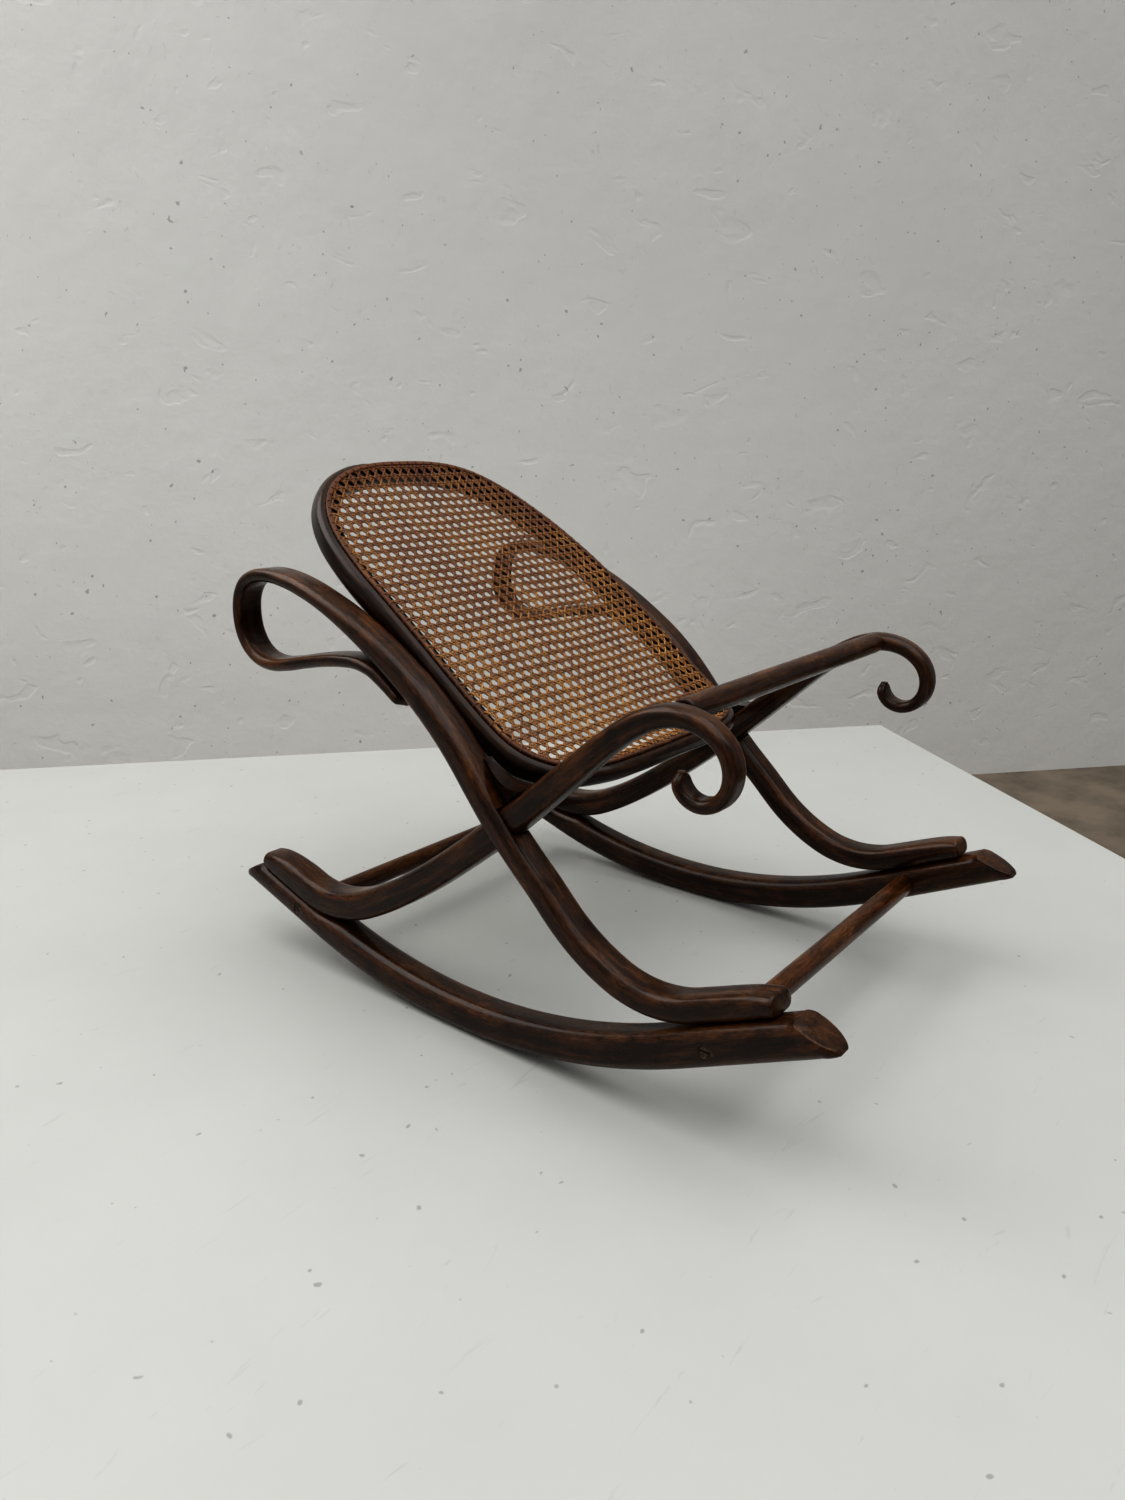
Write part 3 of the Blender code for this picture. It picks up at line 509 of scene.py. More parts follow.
def mesh_object(name, points, faces, material, grain=None, edge=None):
    mesh = bpy.data.meshes.new(name)
    mesh.from_pydata([tuple(p) for p in points], [], faces)
    layers = (("grain", "FLOAT_VECTOR", "vector", grain), ("edge", "FLOAT", "value", edge))
    for key, kind, field, values in layers:
        if values is not None:
            layer = mesh.attributes.new(key, kind, "POINT")
            layer.data.foreach_set(field, np.array(values, np.float32).ravel())
    mesh.materials.append(material)
    for face in mesh.polygons:
        face.use_smooth = True
    return linked_object(name, mesh)


def lofted(name, rings, grains, edges, material, closed=False):
    """One skin through rings of equal length, with flat capped ends unless it is a loop."""
    count = len(rings[0])
    points, grain, edge = ([p for ring in rows for p in ring] for rows in (rings, grains, edges))
    faces = []
    rows = len(rings)
    for j in range(rows if closed else rows - 1):
        k = (j + 1) % rows
        for i in range(count):
            n = (i + 1) % count
            faces.append((j * count + i, j * count + n, k * count + n, k * count + i))
    if not closed:
        faces.append(tuple(range(count))[::-1])
        faces.append(tuple(range((rows - 1) * count, rows * count)))
    obj = mesh_object(name, points, faces, material, grain, edge)
    shape = bmesh.new()
    shape.from_mesh(obj.data)
    bmesh.ops.recalc_face_normals(shape, faces=shape.faces)
    shape.to_mesh(obj.data)
    shape.free()
    for face in obj.data.polygons:
        face.use_smooth = len(face.vertices) == 4
    return obj


def bent_member(name, stations, side, material, tongue):
    """A rail bent in the side plane, each station y, z, half thickness, inset and width.
    tongue is the length over which its thin end is rounded off in width."""
    tangents = directions(stations[:, :2])
    lengths = distances(stations[:, :2])
    from_tip = lengths if stations[0, 2] < stations[-1, 2] else lengths[-1] - lengths
    rounding = np.sqrt(1 - np.clip(1 - (from_tip + 0.08 * tongue) / tongue, 0, 1) ** 2)
    stations[:, 3] += stations[:, 4] * (1 - rounding) / 2
    stations[:, 4] *= rounding
    last = len(stations) - 1
    rings, grains, edges = [], [], []
    for i, (y, z, half, outer, width) in enumerate(stations):
        centre = Vector((side * (HALF - outer - width / 2), y + SHIFT_Y, z))
        along = Vector((0, tangents[i][0], tangents[i][1]))
        normal = Vector((0, -along.z, along.y))
        scales = ((0.0, 1.0),)
        if i == 0:
            scales = tuple((-reach, scale) for reach, scale in reversed(END_SCALES))
        elif i == last:
            scales = END_SCALES
        for ahead, scale in scales:
            half_a = width / 2 - half * (1 - scale)
            ring = rounded_ring(half_a, half * scale, RAIL_CORNER)
            origin = centre + along * (ahead * half)
            rings.append([origin + Vector((a, 0, 0)) + normal * b for a, b, _ in ring])
            grains.append([(lengths[i] + ahead * half, a, b) for a, b, _ in ring])
            edges.append([max(e, min(1.0, 1.6 * (1 - scale))) for _, _, e in ring])
    return lofted(name, rings, grains, edges, material)


def back_rail_stations():
    rows = np.array(BACK_RAIL_MM) * MM
    across = np.tile((BACK_RAIL_OUTER, BACK_RAIL_WIDTH), (len(rows), 1))
    return smooth_path(np.hstack([rows, across]))


def rocker_half(y):
    return float(np.interp(y, *np.array(ROCKER_HALF_MM).T * MM))


def rocker_underside():
    path = []
    for sign, radius, angle, straight in (
        (-1, FRONT_RADIUS, FRONT_ANGLE, FRONT_STRAIGHT),
        (1, BACK_RADIUS, BACK_ANGLE, BACK_STRAIGHT),
    ):
        first = math.asin(CONTACT_HALF / radius)
        steps = math.ceil((angle - first) * radius / STEP)
        half = []
        for k in range(steps + 1):
            turn = first + (angle - first) * k / steps
            y = CONTACT_Y + sign * radius * math.sin(turn)
            half.append((y, radius * (math.cos(first) - math.cos(turn)), sign * turn))
        y, z, turn = half[-1]
        steps = math.ceil(straight / STEP)
        for k in range(1, steps + 1):
            reach = straight * k / steps
            half.append((y + sign * reach * math.cos(turn), z + reach * abs(math.sin(turn)), turn))
        path = half[::-1] if sign < 0 else path + half
    return path


def cut_section(half_width, full, top, corner):
    """Ring of a rocker section whose top is cut off flat at the height top."""
    lost = max(0.0, 2 * full - top)
    rest = max(0.0, corner - lost)
    across = corner - math.sqrt(max(0.0, corner**2 - rest**2))
    ease = 1.6 * MM
    low = min(corner, top * 0.62)
    upper = (max(across, ease), min(max(rest, ease), top * 0.36))
    ring = []
    for quarter, sign in enumerate((1, -1, -1, 1)):
        reach_a, reach_b = upper if quarter < 2 else (low, low)
        reach_a = min(reach_a, half_width)
        level = top - reach_b if quarter < 2 else reach_b
        ring += round_corner(quarter, (sign * (half_width - reach_a), level), (reach_a, reach_b))
    return ring


def slanted_end(y, z, turn, sign):
    """Sections of a rocker's end beyond y, z, cut down at a slant and narrowed to a blunt tip."""
    full = rocker_half(y)
    end = []
    for step in range(1, CUT_STEPS + 2):
        reach = CUT_RUN * step / CUT_STEPS
        plane, level = CUT_HEIGHT - CUT_SLOPE * reach, 2.0
        top = 0.5 * (plane + level - math.sqrt((plane - level) ** 2 + CUT_SOFTNESS))
        narrow = 0.5 * min(1.0, reach / CUT_RUN) ** 4
        if step > CUT_STEPS:
            reach, top, narrow = CUT_END_REACH, top * CUT_END_TOP, CUT_END_NARROW
        end.append((
            y + sign * reach * full * math.cos(turn), z + reach * full * abs(math.sin(turn)),
            turn, full, ROCKER_WIDTH / 2 * (1 - narrow), top * full,
        ))
    return end


def rocker(name, side, material):
    underside = rocker_underside()
    front, back = slanted_end(*underside[0], -1), slanted_end(*underside[-1], 1)
    body = [(y, z, turn, rocker_half(y), ROCKER_WIDTH / 2, 2 * rocker_half(y)) for y, z, turn in underside]
    rings, grains, edges = [], [], []
    length = 0.0
    before = None
    for y, z, turn, full, half_width, top in front[::-1] + body + back:
        normal = Vector((0, -math.sin(turn), math.cos(turn)))
        base = Vector((side * (HALF - ROCKER_WIDTH / 2), y + SHIFT_Y, z))
        length += (base - before).length if before else 0.0
        before = base
        ring = cut_section(half_width, full, top, ROCKER_CORNER)
        rings.append([base + Vector((a, 0, 0)) + normal * h for a, h, _ in ring])
        grains.append([(length, a, h) for a, h, _ in ring])
        edges.append([e if top > 1.99 * full else min(1.0, 0.35 + e) for _, _, e in ring])
    rings = [[Vector((p.x, p.y * ROCKER_LENGTH_TRIM, p.z)) for p in ring] for ring in rings]
    return lofted(name, rings, grains, edges, material)


def rod(name, centre_yz, stations, material):
    """A round rod across the object through (x, radius) stations, with flat closed ends."""
    rings, grains = [], []
    turns = [math.tau * k / ROD_SIDES for k in range(ROD_SIDES)]
    for x, radius in stations:
        grain = [(x, radius * math.cos(turn), radius * math.sin(turn)) for turn in turns]
        grains.append(grain)
        rings.append([Vector((x, centre_yz[0] + SHIFT_Y + a, centre_yz[1] + b)) for _, a, b in grain])
    return lofted(name, rings, grains, [[0.25] * ROD_SIDES for _ in rings], material)


def rod_stations(half_length, radius, shoulder):
    """Stations from end to end with a rounded shoulder at each end."""
    end = []
    for degrees in range(0, 91, 15):
        angle = math.radians(degrees)
        end.append((half_length - shoulder * (1 - math.sin(angle)), radius - shoulder * (1 - math.cos(angle))))
    straight = np.linspace(half_length - shoulder, -half_length + shoulder, 41)[1:-1]
    return end[::-1] + [(x, radius) for x in straight] + [(-x, r) for x, r in end]


class PanelSurface:
    """The cane surface: a curve in the side plane, swept straight across."""

    def __init__(self):
        path = smooth_path(np.array(PANEL_PROFILE_MM) * MM)
        self.reach = distances(path)
        self.columns = np.hstack([path, directions(path)]).T

    def place(self, x, s, height):
        """World points for arrays of x, distance s along the surface and height above it."""
        y, z, dy, dz = (np.interp(s, self.reach, column) for column in self.columns)
        length = np.hypot(dy, dz)
        dy, dz = dy / length, dz / length
        return np.stack([np.asarray(x) + 0 * y, y + SHIFT_Y - dz * height, z + dy * height], axis=-1)


def frame_loop():
    """The frame's centre line as x across and s along the panel, mirrored from its right half."""
    half = np.array(FRAME_LOOP_MM) * MM
    other = half[1:-1][::-1] * np.array([-1, 1])
    return smooth_path(np.vstack([half, other]), True)


def outward(loop):
    tangents = directions(loop, closed=True)
    return np.stack([tangents[:, 1], -tangents[:, 0]], axis=1)


def frame_underside(s):
    """Height of the frame's underside at distance s: its front bar is thinned."""
    return -float(np.interp(s, (15 * MM, FRAME_THINNED_TO), (FRAME_FRONT_DEPTH, FRAME_DEPTH)))


def band(name, surface, loop, offset, width, underside, high, corner, material, steps=RING_STEPS, crown=0.0):
    """A bar following the loop, from underside up to high; crown lifts the middle of its top."""
    normals = outward(loop)
    rings, grains, edges = [], [], []
    for (x, s), (nx, ns), length in zip(loop, normals, distances(loop)):
        low = underside(s)
        section = rounded_ring(width / 2, (high - low) / 2, corner, steps)
        ring = []
        for a, b, _ in section:
            reach = offset + a
            top = crown * (1 - (2 * a / width) ** 2) if b > 0 else 0.0
            ring.append(surface.place(x + nx * reach, s + ns * reach, (low + high) / 2 + b + top))
        rings.append(ring)
        grains.append([(length, a, b) for a, b, _ in section])
        edges.append([e for _, _, e in section])
    return lofted(name, rings, grains, edges, material, closed=True)


# ---------------- cane
def wander(x, s):
    """Small smooth shifts that make the weave look made by hand, in metres."""
    dx = 0.00042 * np.sin(31 * x + 47 * s + 0.7) + 0.0003 * np.sin(83 * s - 41 * x + 2.1)
    ds = 0.0006 * np.sin(37 * x - 29 * s + 1.9) + 0.0004 * np.sin(71 * x + 53 * s + 0.4)
    ds = ds + 0.0012 * np.sin(9.5 * x + 14 * s + 1.0)
    return x + dx, s + ds


def inside(outline, x, s):
    """Whether each point x, s lies within the closed outline."""
    px, ps = outline[:, 0], outline[:, 1]
    qx, qs = np.roll(px, -1), np.roll(ps, -1)
    x, s = x[:, None], s[:, None]
    crosses = (ps > s) != (qs > s)
    with np.errstate(divide="ignore", invalid="ignore"):
        at = px + (s - ps) * (qx - px) / (qs - ps)
    return (np.sum(crosses & (x < at), axis=1) % 2).astype(bool)


def strand(parts, surface, outline, samples, height, width, seed):
    """Adds one flat cane strand. samples holds arrays of distance along it, x and s; height is
    its height at each of them. Only the part inside the outline is kept."""
    t, x, s = samples
    keep = inside(outline, x, s)
    if keep.sum() < 3:
        return
    kept = slice(np.argmax(keep), len(keep) - np.argmax(keep[::-1]))
    x, s, t, height = x[kept], s[kept], t[kept], height[kept]
    wx, ws = wander(x, s)
    dx, ds = np.gradient(wx), np.gradient(ws)
    length = np.hypot(dx, ds)
    nx, ns = -ds / length, dx / length
    varied = width * (1 + 0.05 * np.sin(7.3 * seed) + 0.05 * np.sin(t * 60 + seed))
    rows, grain = [], []
    for across, up in STRAND_PROFILE:
        reach = across * varied
        rows.append(surface.place(wx + nx * reach, ws + ns * reach, height + up * STRAND_THICKNESS))
        grain.append(np.stack([t + seed * 0.37, np.full_like(t, across * width + seed * 0.011),
                               np.full_like(t, up * STRAND_THICKNESS)], axis=-1))
    skin(parts, rows, grain)


def skin(parts, rows, grain):
    """Adds a strip given as rows of points, with faces round it and at both ends."""
    sides, count = len(rows), len(rows[0])
    parts["points"].append(np.concatenate(rows))
    parts["grain"].append(np.concatenate(grain))
    index = parts["count"] + np.arange(sides * count).reshape(sides, count)
    for i in range(sides):
        a, b = index[i], index[(i + 1) % sides]
        parts["faces"].extend(np.stack([a[:-1], a[1:], b[1:], b[:-1]], axis=-1).tolist())
    parts["faces"].append(index[:, 0].tolist())
    parts["faces"].append(index[::-1, -1].tolist())
    parts["edge"].append(np.repeat(np.abs(np.linspace(-1, 1, sides)), count))
    parts["count"] += sides * count


def new_parts():
    return {"points": [], "faces": [], "grain": [], "edge": [], "count": 0}


def finish_parts(name, parts, material):
    points, grain, edge = (np.concatenate(parts[key]) for key in ("points", "grain", "edge"))
    return mesh_object(name, points, parts["faces"], material, grain, edge)


def pair_wave(position, parity):
    """Over one strand of the crossing pair and under the other, in antiphase by parity."""
    phase = (position / PITCH) % 1.0
    near = np.where(phase > 0.5, phase - 1.0, phase) * PITCH
    bell = np.exp(-((np.abs(near) - PAIR_SPACING / 2) / BELL_WIDTH) ** 2)
    return parity * np.sign(near) * bell * PAIR_WAVE


def weave(surface, loop, materials):
    """Four layers of strands: lengthwise pairs, crosswise pairs, and two diagonals."""
    outline = loop + outward(loop) * BINDER_REACH
    (x_low, s_low), (x_high, s_high) = outline.min(axis=0), outline.max(axis=0)
    middle = (s_low + s_high) / 2
    layers = [new_parts() for _ in materials]
    lengthwise, crosswise = layers[:2]

    s = np.arange(s_low - PITCH, s_high + PITCH, SAMPLE)
    for i in range(-COLUMNS, COLUMNS + 1):
        for k, parity in ((0, -1), (1, 1)):
            x = np.full_like(s, i * PITCH + (k - 0.5) * PAIR_SPACING)
            height = WEAVE_LIFT + pair_wave(s - middle, parity)
            strand(lengthwise, surface, outline, (s, x, s), height, STRAND_WIDTH, i * 2.3 + k * 1.1 + 5)
    x = np.arange(x_low - PITCH, x_high + PITCH, SAMPLE)
    for j in range(-ROWS, ROWS + 1):
        for k, parity in ((0, 1), (1, -1)):
            level = np.full_like(x, middle + j * PITCH + (k - 0.5) * PAIR_SPACING)
            height = WEAVE_LIFT + pair_wave(x, parity)
            strand(crosswise, surface, outline, (x, x, level), height, STRAND_WIDTH, j * 1.7 + k * 2.9 + 60)
    half_span = (s_high - s_low + x_high - x_low) / 2
    lines = int(half_span / PITCH) + 2
    for parts, direction in zip(layers[2:], (1, -1)):
        wave = np.cos(math.tau * (x / PITCH)) * DIAGONAL_WAVE * direction
        height = WEAVE_LIFT + DIAGONAL_LIFT + wave
        for k in range(-lines, lines + 1):
            level = middle + direction * x + (k + 0.5) * PITCH
            strand(parts, surface, outline, (x * math.sqrt(2), x, level), height,
                   DIAGONAL_WIDTH, k * 1.9 + direction * 31)
    names = ("cane_lengthwise_pairs", "cane_crosswise_pairs", "cane_rising_diagonals", "cane_falling_diagonals")
    return [finish_parts(*piece) for piece in zip(names, layers, materials)]


def stitches(surface, loop, material):
    """Short loops of cane over the binder, one at every hole of the frame."""
    normals = outward(loop)
    path = loop + normals * BINDER_REACH
    closed = np.vstack([path, path[:1]])
    lengths = distances(closed)
    columns = np.hstack([closed, np.vstack([normals, normals[:1]])]).T
    count = int(round(lengths[-1] / PITCH))
    parts = new_parts()
    for n in range(count):
        at = lengths[-1] * (n + 0.5) / count
        x, s, nx, ns = (np.interp(at, lengths, column) for column in columns)
        lean = 0.18 * math.sin(n * 2.4)
        width = STITCH_WIDTH * (1 + 0.1 * math.sin(n * 1.7))
        rows, grain = [], []
        for across, up in STITCH_SECTION:
            row = []
            for a, b in STITCH_ARC:
                out = a * BINDER_WIDTH / 2
                side = across * width + lean * out
                row.append(surface.place(x + nx * out - ns * side, s + ns * out + nx * side, (b + up) * MM))
            rows.append(np.array(row))
            grain.append(np.array([(a * 0.003 + n * 0.7, across * width, up * MM) for a, _ in STITCH_ARC]))
        skin(parts, rows, grain)
    return finish_parts("binder_stitches", parts, material)


# ---------------- cuts
def cutter_object(name, shape, place):
    """A cutter from the bmesh shape, which is freed."""
    mesh = bpy.data.meshes.new(name)
    shape.to_mesh(mesh)
    shape.free()
    obj = linked_object(name, mesh)
    obj.matrix_world = place
    return obj


def lathe_cutter(name, profile, place):
    """A closed turned solid from (radius, distance) rows that start and end on the axis."""
    shape = bmesh.new()
    turns = [math.tau * k / ROD_SIDES for k in range(ROD_SIDES)]
    rings = []
    for radius, along in profile:
        corners = [(radius * math.cos(turn), radius * math.sin(turn), along) for turn in turns]
        rings.append([shape.verts.new(corner) for corner in (corners if radius else [(0, 0, along)])])
    for near, far in zip(rings[:-1], rings[1:]):
        for k in range(ROD_SIDES):
            n = (k + 1) % ROD_SIDES
            corners = (near[k % len(near)], far[k % len(far)], far[n % len(far)], near[n % len(near)])
            shape.faces.new(dict.fromkeys(corners))
    bmesh.ops.recalc_face_normals(shape, faces=shape.faces)
    return cutter_object(name, shape, place)


def place_along(origin, direction):
    turn = Vector(direction).normalized().to_track_quat("Z", "Y").to_matrix().to_4x4()
    return Matrix.Translation(Vector(origin)) @ turn


def apply_cuts(obj, cutters):
    """Cuts each cutter from obj and keeps the result as its mesh; the cutters are removed."""
    for cutter in cutters:
        modifier = obj.modifiers.new(cutter.name, "BOOLEAN")
        modifier.operation = "DIFFERENCE"
        modifier.solver = "EXACT"
        modifier.object = cutter
    graph = bpy.context.evaluated_depsgraph_get()
    mesh = bpy.data.meshes.new_from_object(obj.evaluated_get(graph))
    old = obj.data
    obj.modifiers.clear()
    obj.data = mesh
    bpy.data.meshes.remove(old)
    mesh.name = obj.name
    for cutter in cutters:
        bpy.data.objects.remove(cutter)


def screw_hole(name, origin, direction):
    rim = SCREW_HEAD_RADIUS + GAP
    profile = (
        (0, SCREW_HOLE_DEPTH), (SCREW_SHANK_RADIUS, SCREW_HOLE_DEPTH), (SCREW_SHANK_RADIUS, SCREW_HEAD_DEPTH),
        (rim, 0), (rim + 0.4 * MM, -RECESS), (rim + 0.4 * MM, -5 * MM), (0, -5 * MM),
    )
    return lathe_cutter(name, profile, place_along(origin, direction))


def box_cutter(name, centre, angle, size):
    shape = bmesh.new()
    bmesh.ops.create_cube(shape, size=1.0)
    place = Matrix.Translation(centre) @ Matrix.Rotation(angle, 4, "X") @ Matrix.Diagonal((*size, 1))
    return cutter_object(name, shape, place)


def foot_seat(side):
    """Cutter one gap larger than the rocker."""
    rings = []
    for y, z, turn in rocker_underside():
        normal = Vector((0, -math.sin(turn), math.cos(turn)))
        half = rocker_half(y) + GAP
        centre = Vector((side * (HALF - ROCKER_WIDTH / 2), y + SHIFT_Y, z)) + normal * (half - GAP)
        corners = ((ROCKER_WIDTH, half), (-ROCKER_WIDTH, half), (-ROCKER_WIDTH, -half), (ROCKER_WIDTH, -half))
        rings.append([centre + Vector((a, 0, 0)) + normal * b for a, b in corners])
    blank = [[0] * 4 for _ in rings]
    return lofted(f"foot_seat_{side}", rings, [[(0, 0, 0)] * 4 for _ in rings], blank, None)


def corner_block(name, side, material):
    """Small glued block with one hollow face, its sharp edges eased."""
    up_back = Vector((0, math.cos(BLOCK_BACK_ANGLE), math.sin(BLOCK_BACK_ANGLE)))
    up_front = Vector((0, math.cos(BLOCK_FRONT_ANGLE), math.sin(BLOCK_FRONT_ANGLE)))
    corner = Vector((0, BLOCK_CORNER[0] + SHIFT_Y, BLOCK_CORNER[1]))
    first = corner + up_front * BLOCK_ALONG_FRONT
    last = corner + up_back * BLOCK_ALONG_BACK
    pull = corner * 0.42 + (first + last) * 0.29
    outline = [corner]
    for k in range(BLOCK_STEPS + 1):
        t = k / BLOCK_STEPS
        outline.append(first * (1 - t) ** 2 + pull * (2 * t * (1 - t)) + last * t**2)
    centre = sum(outline, Vector()) / len(outline)
    sections = ((0.0, 0.05), (0.4 * BLOCK_EASE, 0.015), (BLOCK_EASE, 0.0))
    sections = [(BLOCK_OUTER + ease, shrink) for ease, shrink in sections] + [
        (BLOCK_INNER - ease, shrink) for ease, shrink in sections[::-1]
    ]
    rings, grains, edges = [], [], []
    for inset, shrink in sections:
        # The outer face falls back toward the tip on the back rail.
        fall = (BLOCK_INNER - inset) / (BLOCK_INNER - BLOCK_OUTER) * BLOCK_FALL
        ring = []
        for k, point in enumerate(outline):
            back = fall * (0.5 if k == 0 else ((k - 1) / BLOCK_STEPS) ** 1.5)
            ring.append(point.lerp(centre, shrink) + Vector((side * (HALF - inset - back), 0, 0)))
        rings.append(ring)
        grains.append([(p.y, p.z, p.x) for p in ring])
        edges.append([0.2 if 0 < shrink < 0.05 else 0.0 for _ in ring])
    obj = lofted(name, rings, grains, edges, material)
    obj.data.set_sharp_from_angle(angle=math.radians(40))
    return obj


# ---------------- build
def dress(obj, slot, *nodes):
    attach(obj, "root")
    if nodes:
        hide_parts(*nodes)


def build_panel():
    surface = PanelSurface()
    loop = frame_loop()
    canes = [cane_material(f"cane_{way}", tint, seed, CANE_STOPS) for way, tint, seed in CANE_TINTS]
    binder_cane = cane_material("cane_binder_skin", (1.0, 1.0, 1.0), 5.0, BINDER_STOPS)
    frame_wood = wood_material("frame_beech", 7.3, 0.22, 0.6)
    rail = band("bent_panel_frame", surface, loop, 0, FRAME_WIDTH, frame_underside, 0, FRAME_CORNER, frame_wood)
    dress(rail, "frame_wood", "panel_frame")
    layers = weave(surface, loop, canes)
    dress(layers[0], "woven_cane", "cane_panel")
    for layer in layers[1:]:
        dress(layer, "woven_cane")
    strip = band("binder_strip", surface, loop, BINDER_REACH, BINDER_WIDTH, lambda s: BINDER_BOTTOM,
                 BINDER_TOP, BINDER_CORNER, binder_cane, 3, BINDER_CROWN)
    dress(strip, "binder_cane", "cane_binder")
    dress(stitches(surface, loop, binder_cane), "binder_cane")


def build_rods():
    stations = rod_stations(HALF - ROCKER_WIDTH - GAP, STRETCHER_RADIUS, STRETCHER_SHOULDER)
    for label, axis, offset in (("front", FRONT_STRETCHER_YZ, 21.0), ("back", BACK_STRETCHER_YZ, 25.1)):
        wood = wood_material(f"{label}_stretcher_beech", offset, 1.0, 1.7)
        piece = rod(f"{label}_cross_rod", axis, stations, wood)
        dress(piece, "stretcher_wood", f"{label}_stretcher")
    wood = wood_material("top_rail_beech", 33.0, 0.7, 1.2)
    stations = rod_stations(HALF - TOP_RAIL_INSET, TOP_RAIL_RADIUS, TOP_RAIL_SHOULDER)
    dress(rod("top_cross_rail", TOP_RAIL_YZ, stations, wood), "top_rail_wood", "top_rail")


def build_side(side, label):
    def stained(piece, offset, wear, depth):
        return wood_material(f"{piece}_beech_{label}", offset + 2.7 * side, wear, depth)

    wood = stained("rocker", 41.0, 0.55, 0.95)
    runner = rocker(f"bent_rocker_{label}", side, wood)
    apply_cuts(runner, [
        screw_hole(f"hole_{label}_{y}", (side * (HALF - RECESS), y + SHIFT_Y, z), (-side, 0, 0))
        for y, z in (FRONT_STRETCHER_YZ, BACK_STRETCHER_YZ)
    ])
    dress(runner, "rocker_wood", f"rocker_{label}")

    wood = stained("back_scroll", 51.0, 0.7, 1.1)
    back = bent_member(f"back_scroll_{label}", back_rail_stations(), side, wood, BACK_TIP_ROUNDING)
    middle = HALF - NOTCH_OUTER - NOTCH_SIZE[0] / 2
    centre = Vector((side * middle, CROSSING_YZ[0] + SHIFT_Y, CROSSING_YZ[1]))
    notch = box_cutter(f"notch_{label}", centre, CROSSING_ANGLE, NOTCH_SIZE)
    apply_cuts(back, [notch, foot_seat(side)])
    dress(back, "back_rail_wood", f"back_scroll_rail_{label}")

    wood = stained("front_scroll", 61.0, 0.6, 1.0)
    stations = smooth_path(np.array(FRONT_RAIL_MM) * MM)
    front = bent_member(f"front_scroll_{label}", stations, side, wood, FRONT_TIP_ROUNDING)
    apply_cuts(front, [foot_seat(side)])
    dress(front, "front_rail_wood", f"front_scroll_rail_{label}")

    # The glue block is made very dark (depth 0.35): painted shade for the shadow under the panel frame.
    wood = stained("block", 71.0, 0.1, 0.35)
    dress(corner_block(f"glue_block_{label}", side, wood), "block_wood", f"corner_block_{label}")


def build_object():
    steel = steel_material("aged_steel")
    build_panel()
    build_rods()
    build_side(-1, "left")
    build_side(1, "right")
    for name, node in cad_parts.items():
        if "screw" in name:
            for slot in node.material_slots:
                slot.material = steel


# ---------------- stage
def plain_surface(name, colour, roughness, blotch, scale, bump_height, fineness, painted_light_lift=0.0):
    """Matt surface with faint blotches, a few dark specks and scuffs, and slight relief.
    Its last argument brightens it toward the floor, as painted light."""
    material, tree, shader = node_material(name)
    position = geometry(tree, "Position")
    broad = noise(tree, position, (scale, scale, scale), 5.0, 0.6)
    base = ramp(tree, broad, ((0.35, scaled(colour, 1 - blotch)), (0.6, colour)))
    # Painted light: the colour is made lighter toward the floor.
    if painted_light_lift:
        painted_light_low_down = spread(tree, axis_z(tree, position), -0.1, 1.3, 0.8, 0.0)
        base = mix_colour(tree, painted_light_low_down, base, scaled(colour, 1 + painted_light_lift))
    specks = spread(tree, noise(tree, position, (85, 85, 85), 1.0, 0.5), 0.752, 0.78, 0.0, 0.5)
    base = mix_colour(tree, specks, base, scaled(colour, 0.3))
    scuffs = spread(tree, noise(tree, position, (9, 48, 30), 3.0, 0.65, 2.0), 0.66, 0.74, 0.0, 0.2)
    base = mix_colour(tree, scuffs, base, scaled(colour, 0.5))
    tree.links.new(base, shader.inputs["Base Color"])
    set_inputs(shader, Roughness=roughness)
    pitch = 18.0 * fineness
    fine = noise(tree, position, (pitch, pitch, pitch), 8.0, 0.62)
    dents = noise(tree, position, (pitch * 0.6, pitch * 1.8, pitch * 1.8), 2.0, 0.5, 0.6)
    pits = spread(tree, dents, 0.3, 0.36)
    relief(tree, shader, added(tree, times(tree, fine, 0.6), times(tree, pits, 0.12)), 0.5, bump_height)
    return material


def slab(name, corners, top, bottom, material):
    """A flat slab with the given outline, anticlockwise seen from above."""
    count = len(corners)
    points = [(x, y, z) for z in (top, bottom) for x, y in corners]
    faces = [tuple(range(count)), tuple(range(count, 2 * count))[::-1]]
    faces += [(k, k + count, (k + 1) % count + count, (k + 1) % count) for k in range(count)]
    obj = mesh_object(name, points, faces, material)
    for face in obj.data.polygons:
        face.use_smooth = False


def build_stage():
    table = plain_surface("table_white", TABLE_COLOUR, 0.5, 0.03, 5.0, 0.0005, 1.0)
    # The wall is painted lighter toward the floor: painted light.
    wall = plain_surface("wall_plaster", WALL_COLOUR, 0.9, 0.05, 2.0, 0.008, 0.6, 0.46)
    ground = plain_surface("bare_floor", FLOOR_COLOUR, 0.9, 0.35, 9.0, 0.004, 0.6)
    corner = Vector(TABLE_CORNER)
    back, side = WALL_ALONG.xy, -WALL_BEYOND.xy
    length, depth = back * TABLE_LENGTH, side * TABLE_DEPTH
    slab("table_top", (corner, corner + length, corner + length + depth, corner + depth),
         0.0, -TABLE_THICKNESS, table)
    base = corner - side * WALL_BEHIND
    left, right = base + back * WALL_LEFT, base - back * WALL_RIGHT
    behind = -side * WALL_THICKNESS
    slab("wall", (right + behind, left + behind, left, right), WALL_TOP, FLOOR_LEVEL, wall)
    slab("floor", (right, left, left + side * FLOOR_DEPTH, right + side * FLOOR_DEPTH), FLOOR_LEVEL,
         FLOOR_LEVEL - TABLE_THICKNESS, ground)


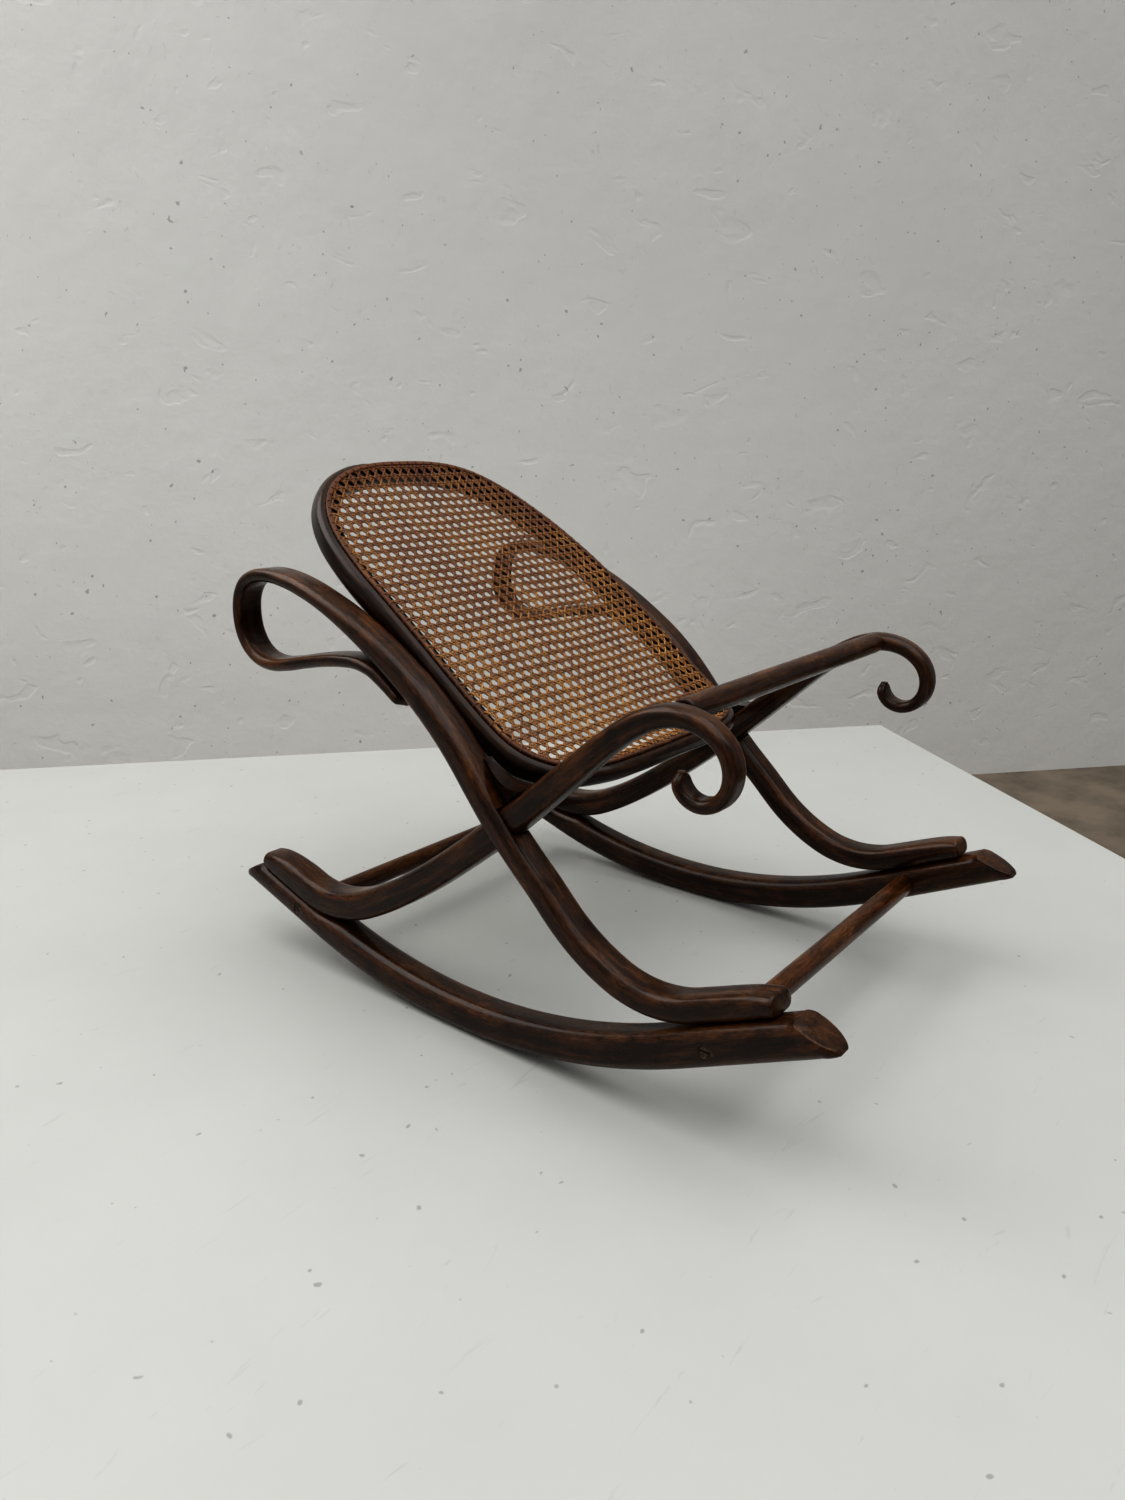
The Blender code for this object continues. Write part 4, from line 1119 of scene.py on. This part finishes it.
def area_light(name, place, target, size, power, colour):
    data = bpy.data.lights.new(name, "AREA")
    data.shape = "RECTANGLE"
    data.size, data.size_y = size
    data.energy = power
    data.color = colour
    obj = linked_object(name, data)
    obj.location = place
    obj.rotation_mode = "QUATERNION"
    obj.rotation_quaternion = (Vector(target) - Vector(place)).to_track_quat("-Z", "Y")
    obj.visible_camera = False


def build_world():
    """Soft daylight, brightest overhead and beyond the object, dim behind the camera."""
    world = bpy.data.worlds.new("soft_daylight")
    bpy.context.scene.world = world
    world.use_nodes = True
    tree = world.node_tree
    background = tree.nodes["Background"]
    direction = tree.nodes.new("ShaderNodeTexCoord").outputs["Generated"]
    toward = (0.5 * AHEAD - 0.35 * RIGHT + Vector((0, 0, 0.8))).normalized()
    dot = tree.nodes.new("ShaderNodeVectorMath")
    dot.operation = "DOT_PRODUCT"
    tree.links.new(direction, dot.inputs[0])
    dot.inputs[1].default_value = toward
    sky = ramp(tree, spread(tree, dot.outputs["Value"], -0.6, 0.9), SKY_STOPS)
    tree.links.new(sky, background.inputs["Color"])
    set_inputs(background, Strength=DAYLIGHT_STRENGTH)


def from_camera(ahead, right, height):
    """The point this far ahead of the camera and to its right, at this height above the table."""
    return Vector((CAMERA_PLACE[0], CAMERA_PLACE[1], height)) + AHEAD * ahead + RIGHT * right


def build_light():
    area_light("window", from_camera(*WINDOW_PLACE), WINDOW_TARGET, WINDOW_SIZE, WINDOW_POWER, WARM_WHITE)
    area_light("skylight", from_camera(*SKYLIGHT_PLACE), from_camera(*SKYLIGHT_TARGET),
               SKYLIGHT_SIZE, SKYLIGHT_POWER, COOL_WHITE)
    wash = Vector((*TABLE_CORNER, -WASH_DROP)) + WALL_ALONG * WASH_ALONG + WALL_BEYOND * WASH_BEHIND
    target = wash + WALL_BEYOND + Vector((0, 0, WASH_RISE))
    area_light("wall_wash", wash, target, WASH_SIZE, WASH_POWER, WARM_WHITE)
    bpy.context.scene.view_settings.view_transform = "Standard"
    bpy.context.scene.view_settings.look = "High Contrast"


def build_camera():
    data = bpy.data.cameras.new("camera")
    data.sensor_fit = "VERTICAL"
    data.sensor_height = SENSOR_HEIGHT
    data.lens = CAMERA_LENS
    data.clip_start = 0.02
    data.clip_end = 50
    camera = linked_object("camera", data)
    camera.location = CAMERA_PLACE
    forward = AHEAD * math.cos(CAMERA_PITCH) - Vector((0, 0, math.sin(CAMERA_PITCH)))
    camera.rotation_mode = "QUATERNION"
    camera.rotation_quaternion = forward.to_track_quat("-Z", "Y")
    bpy.context.scene.camera = camera


build_object()
build_stage()
build_world()
build_light()
build_camera()
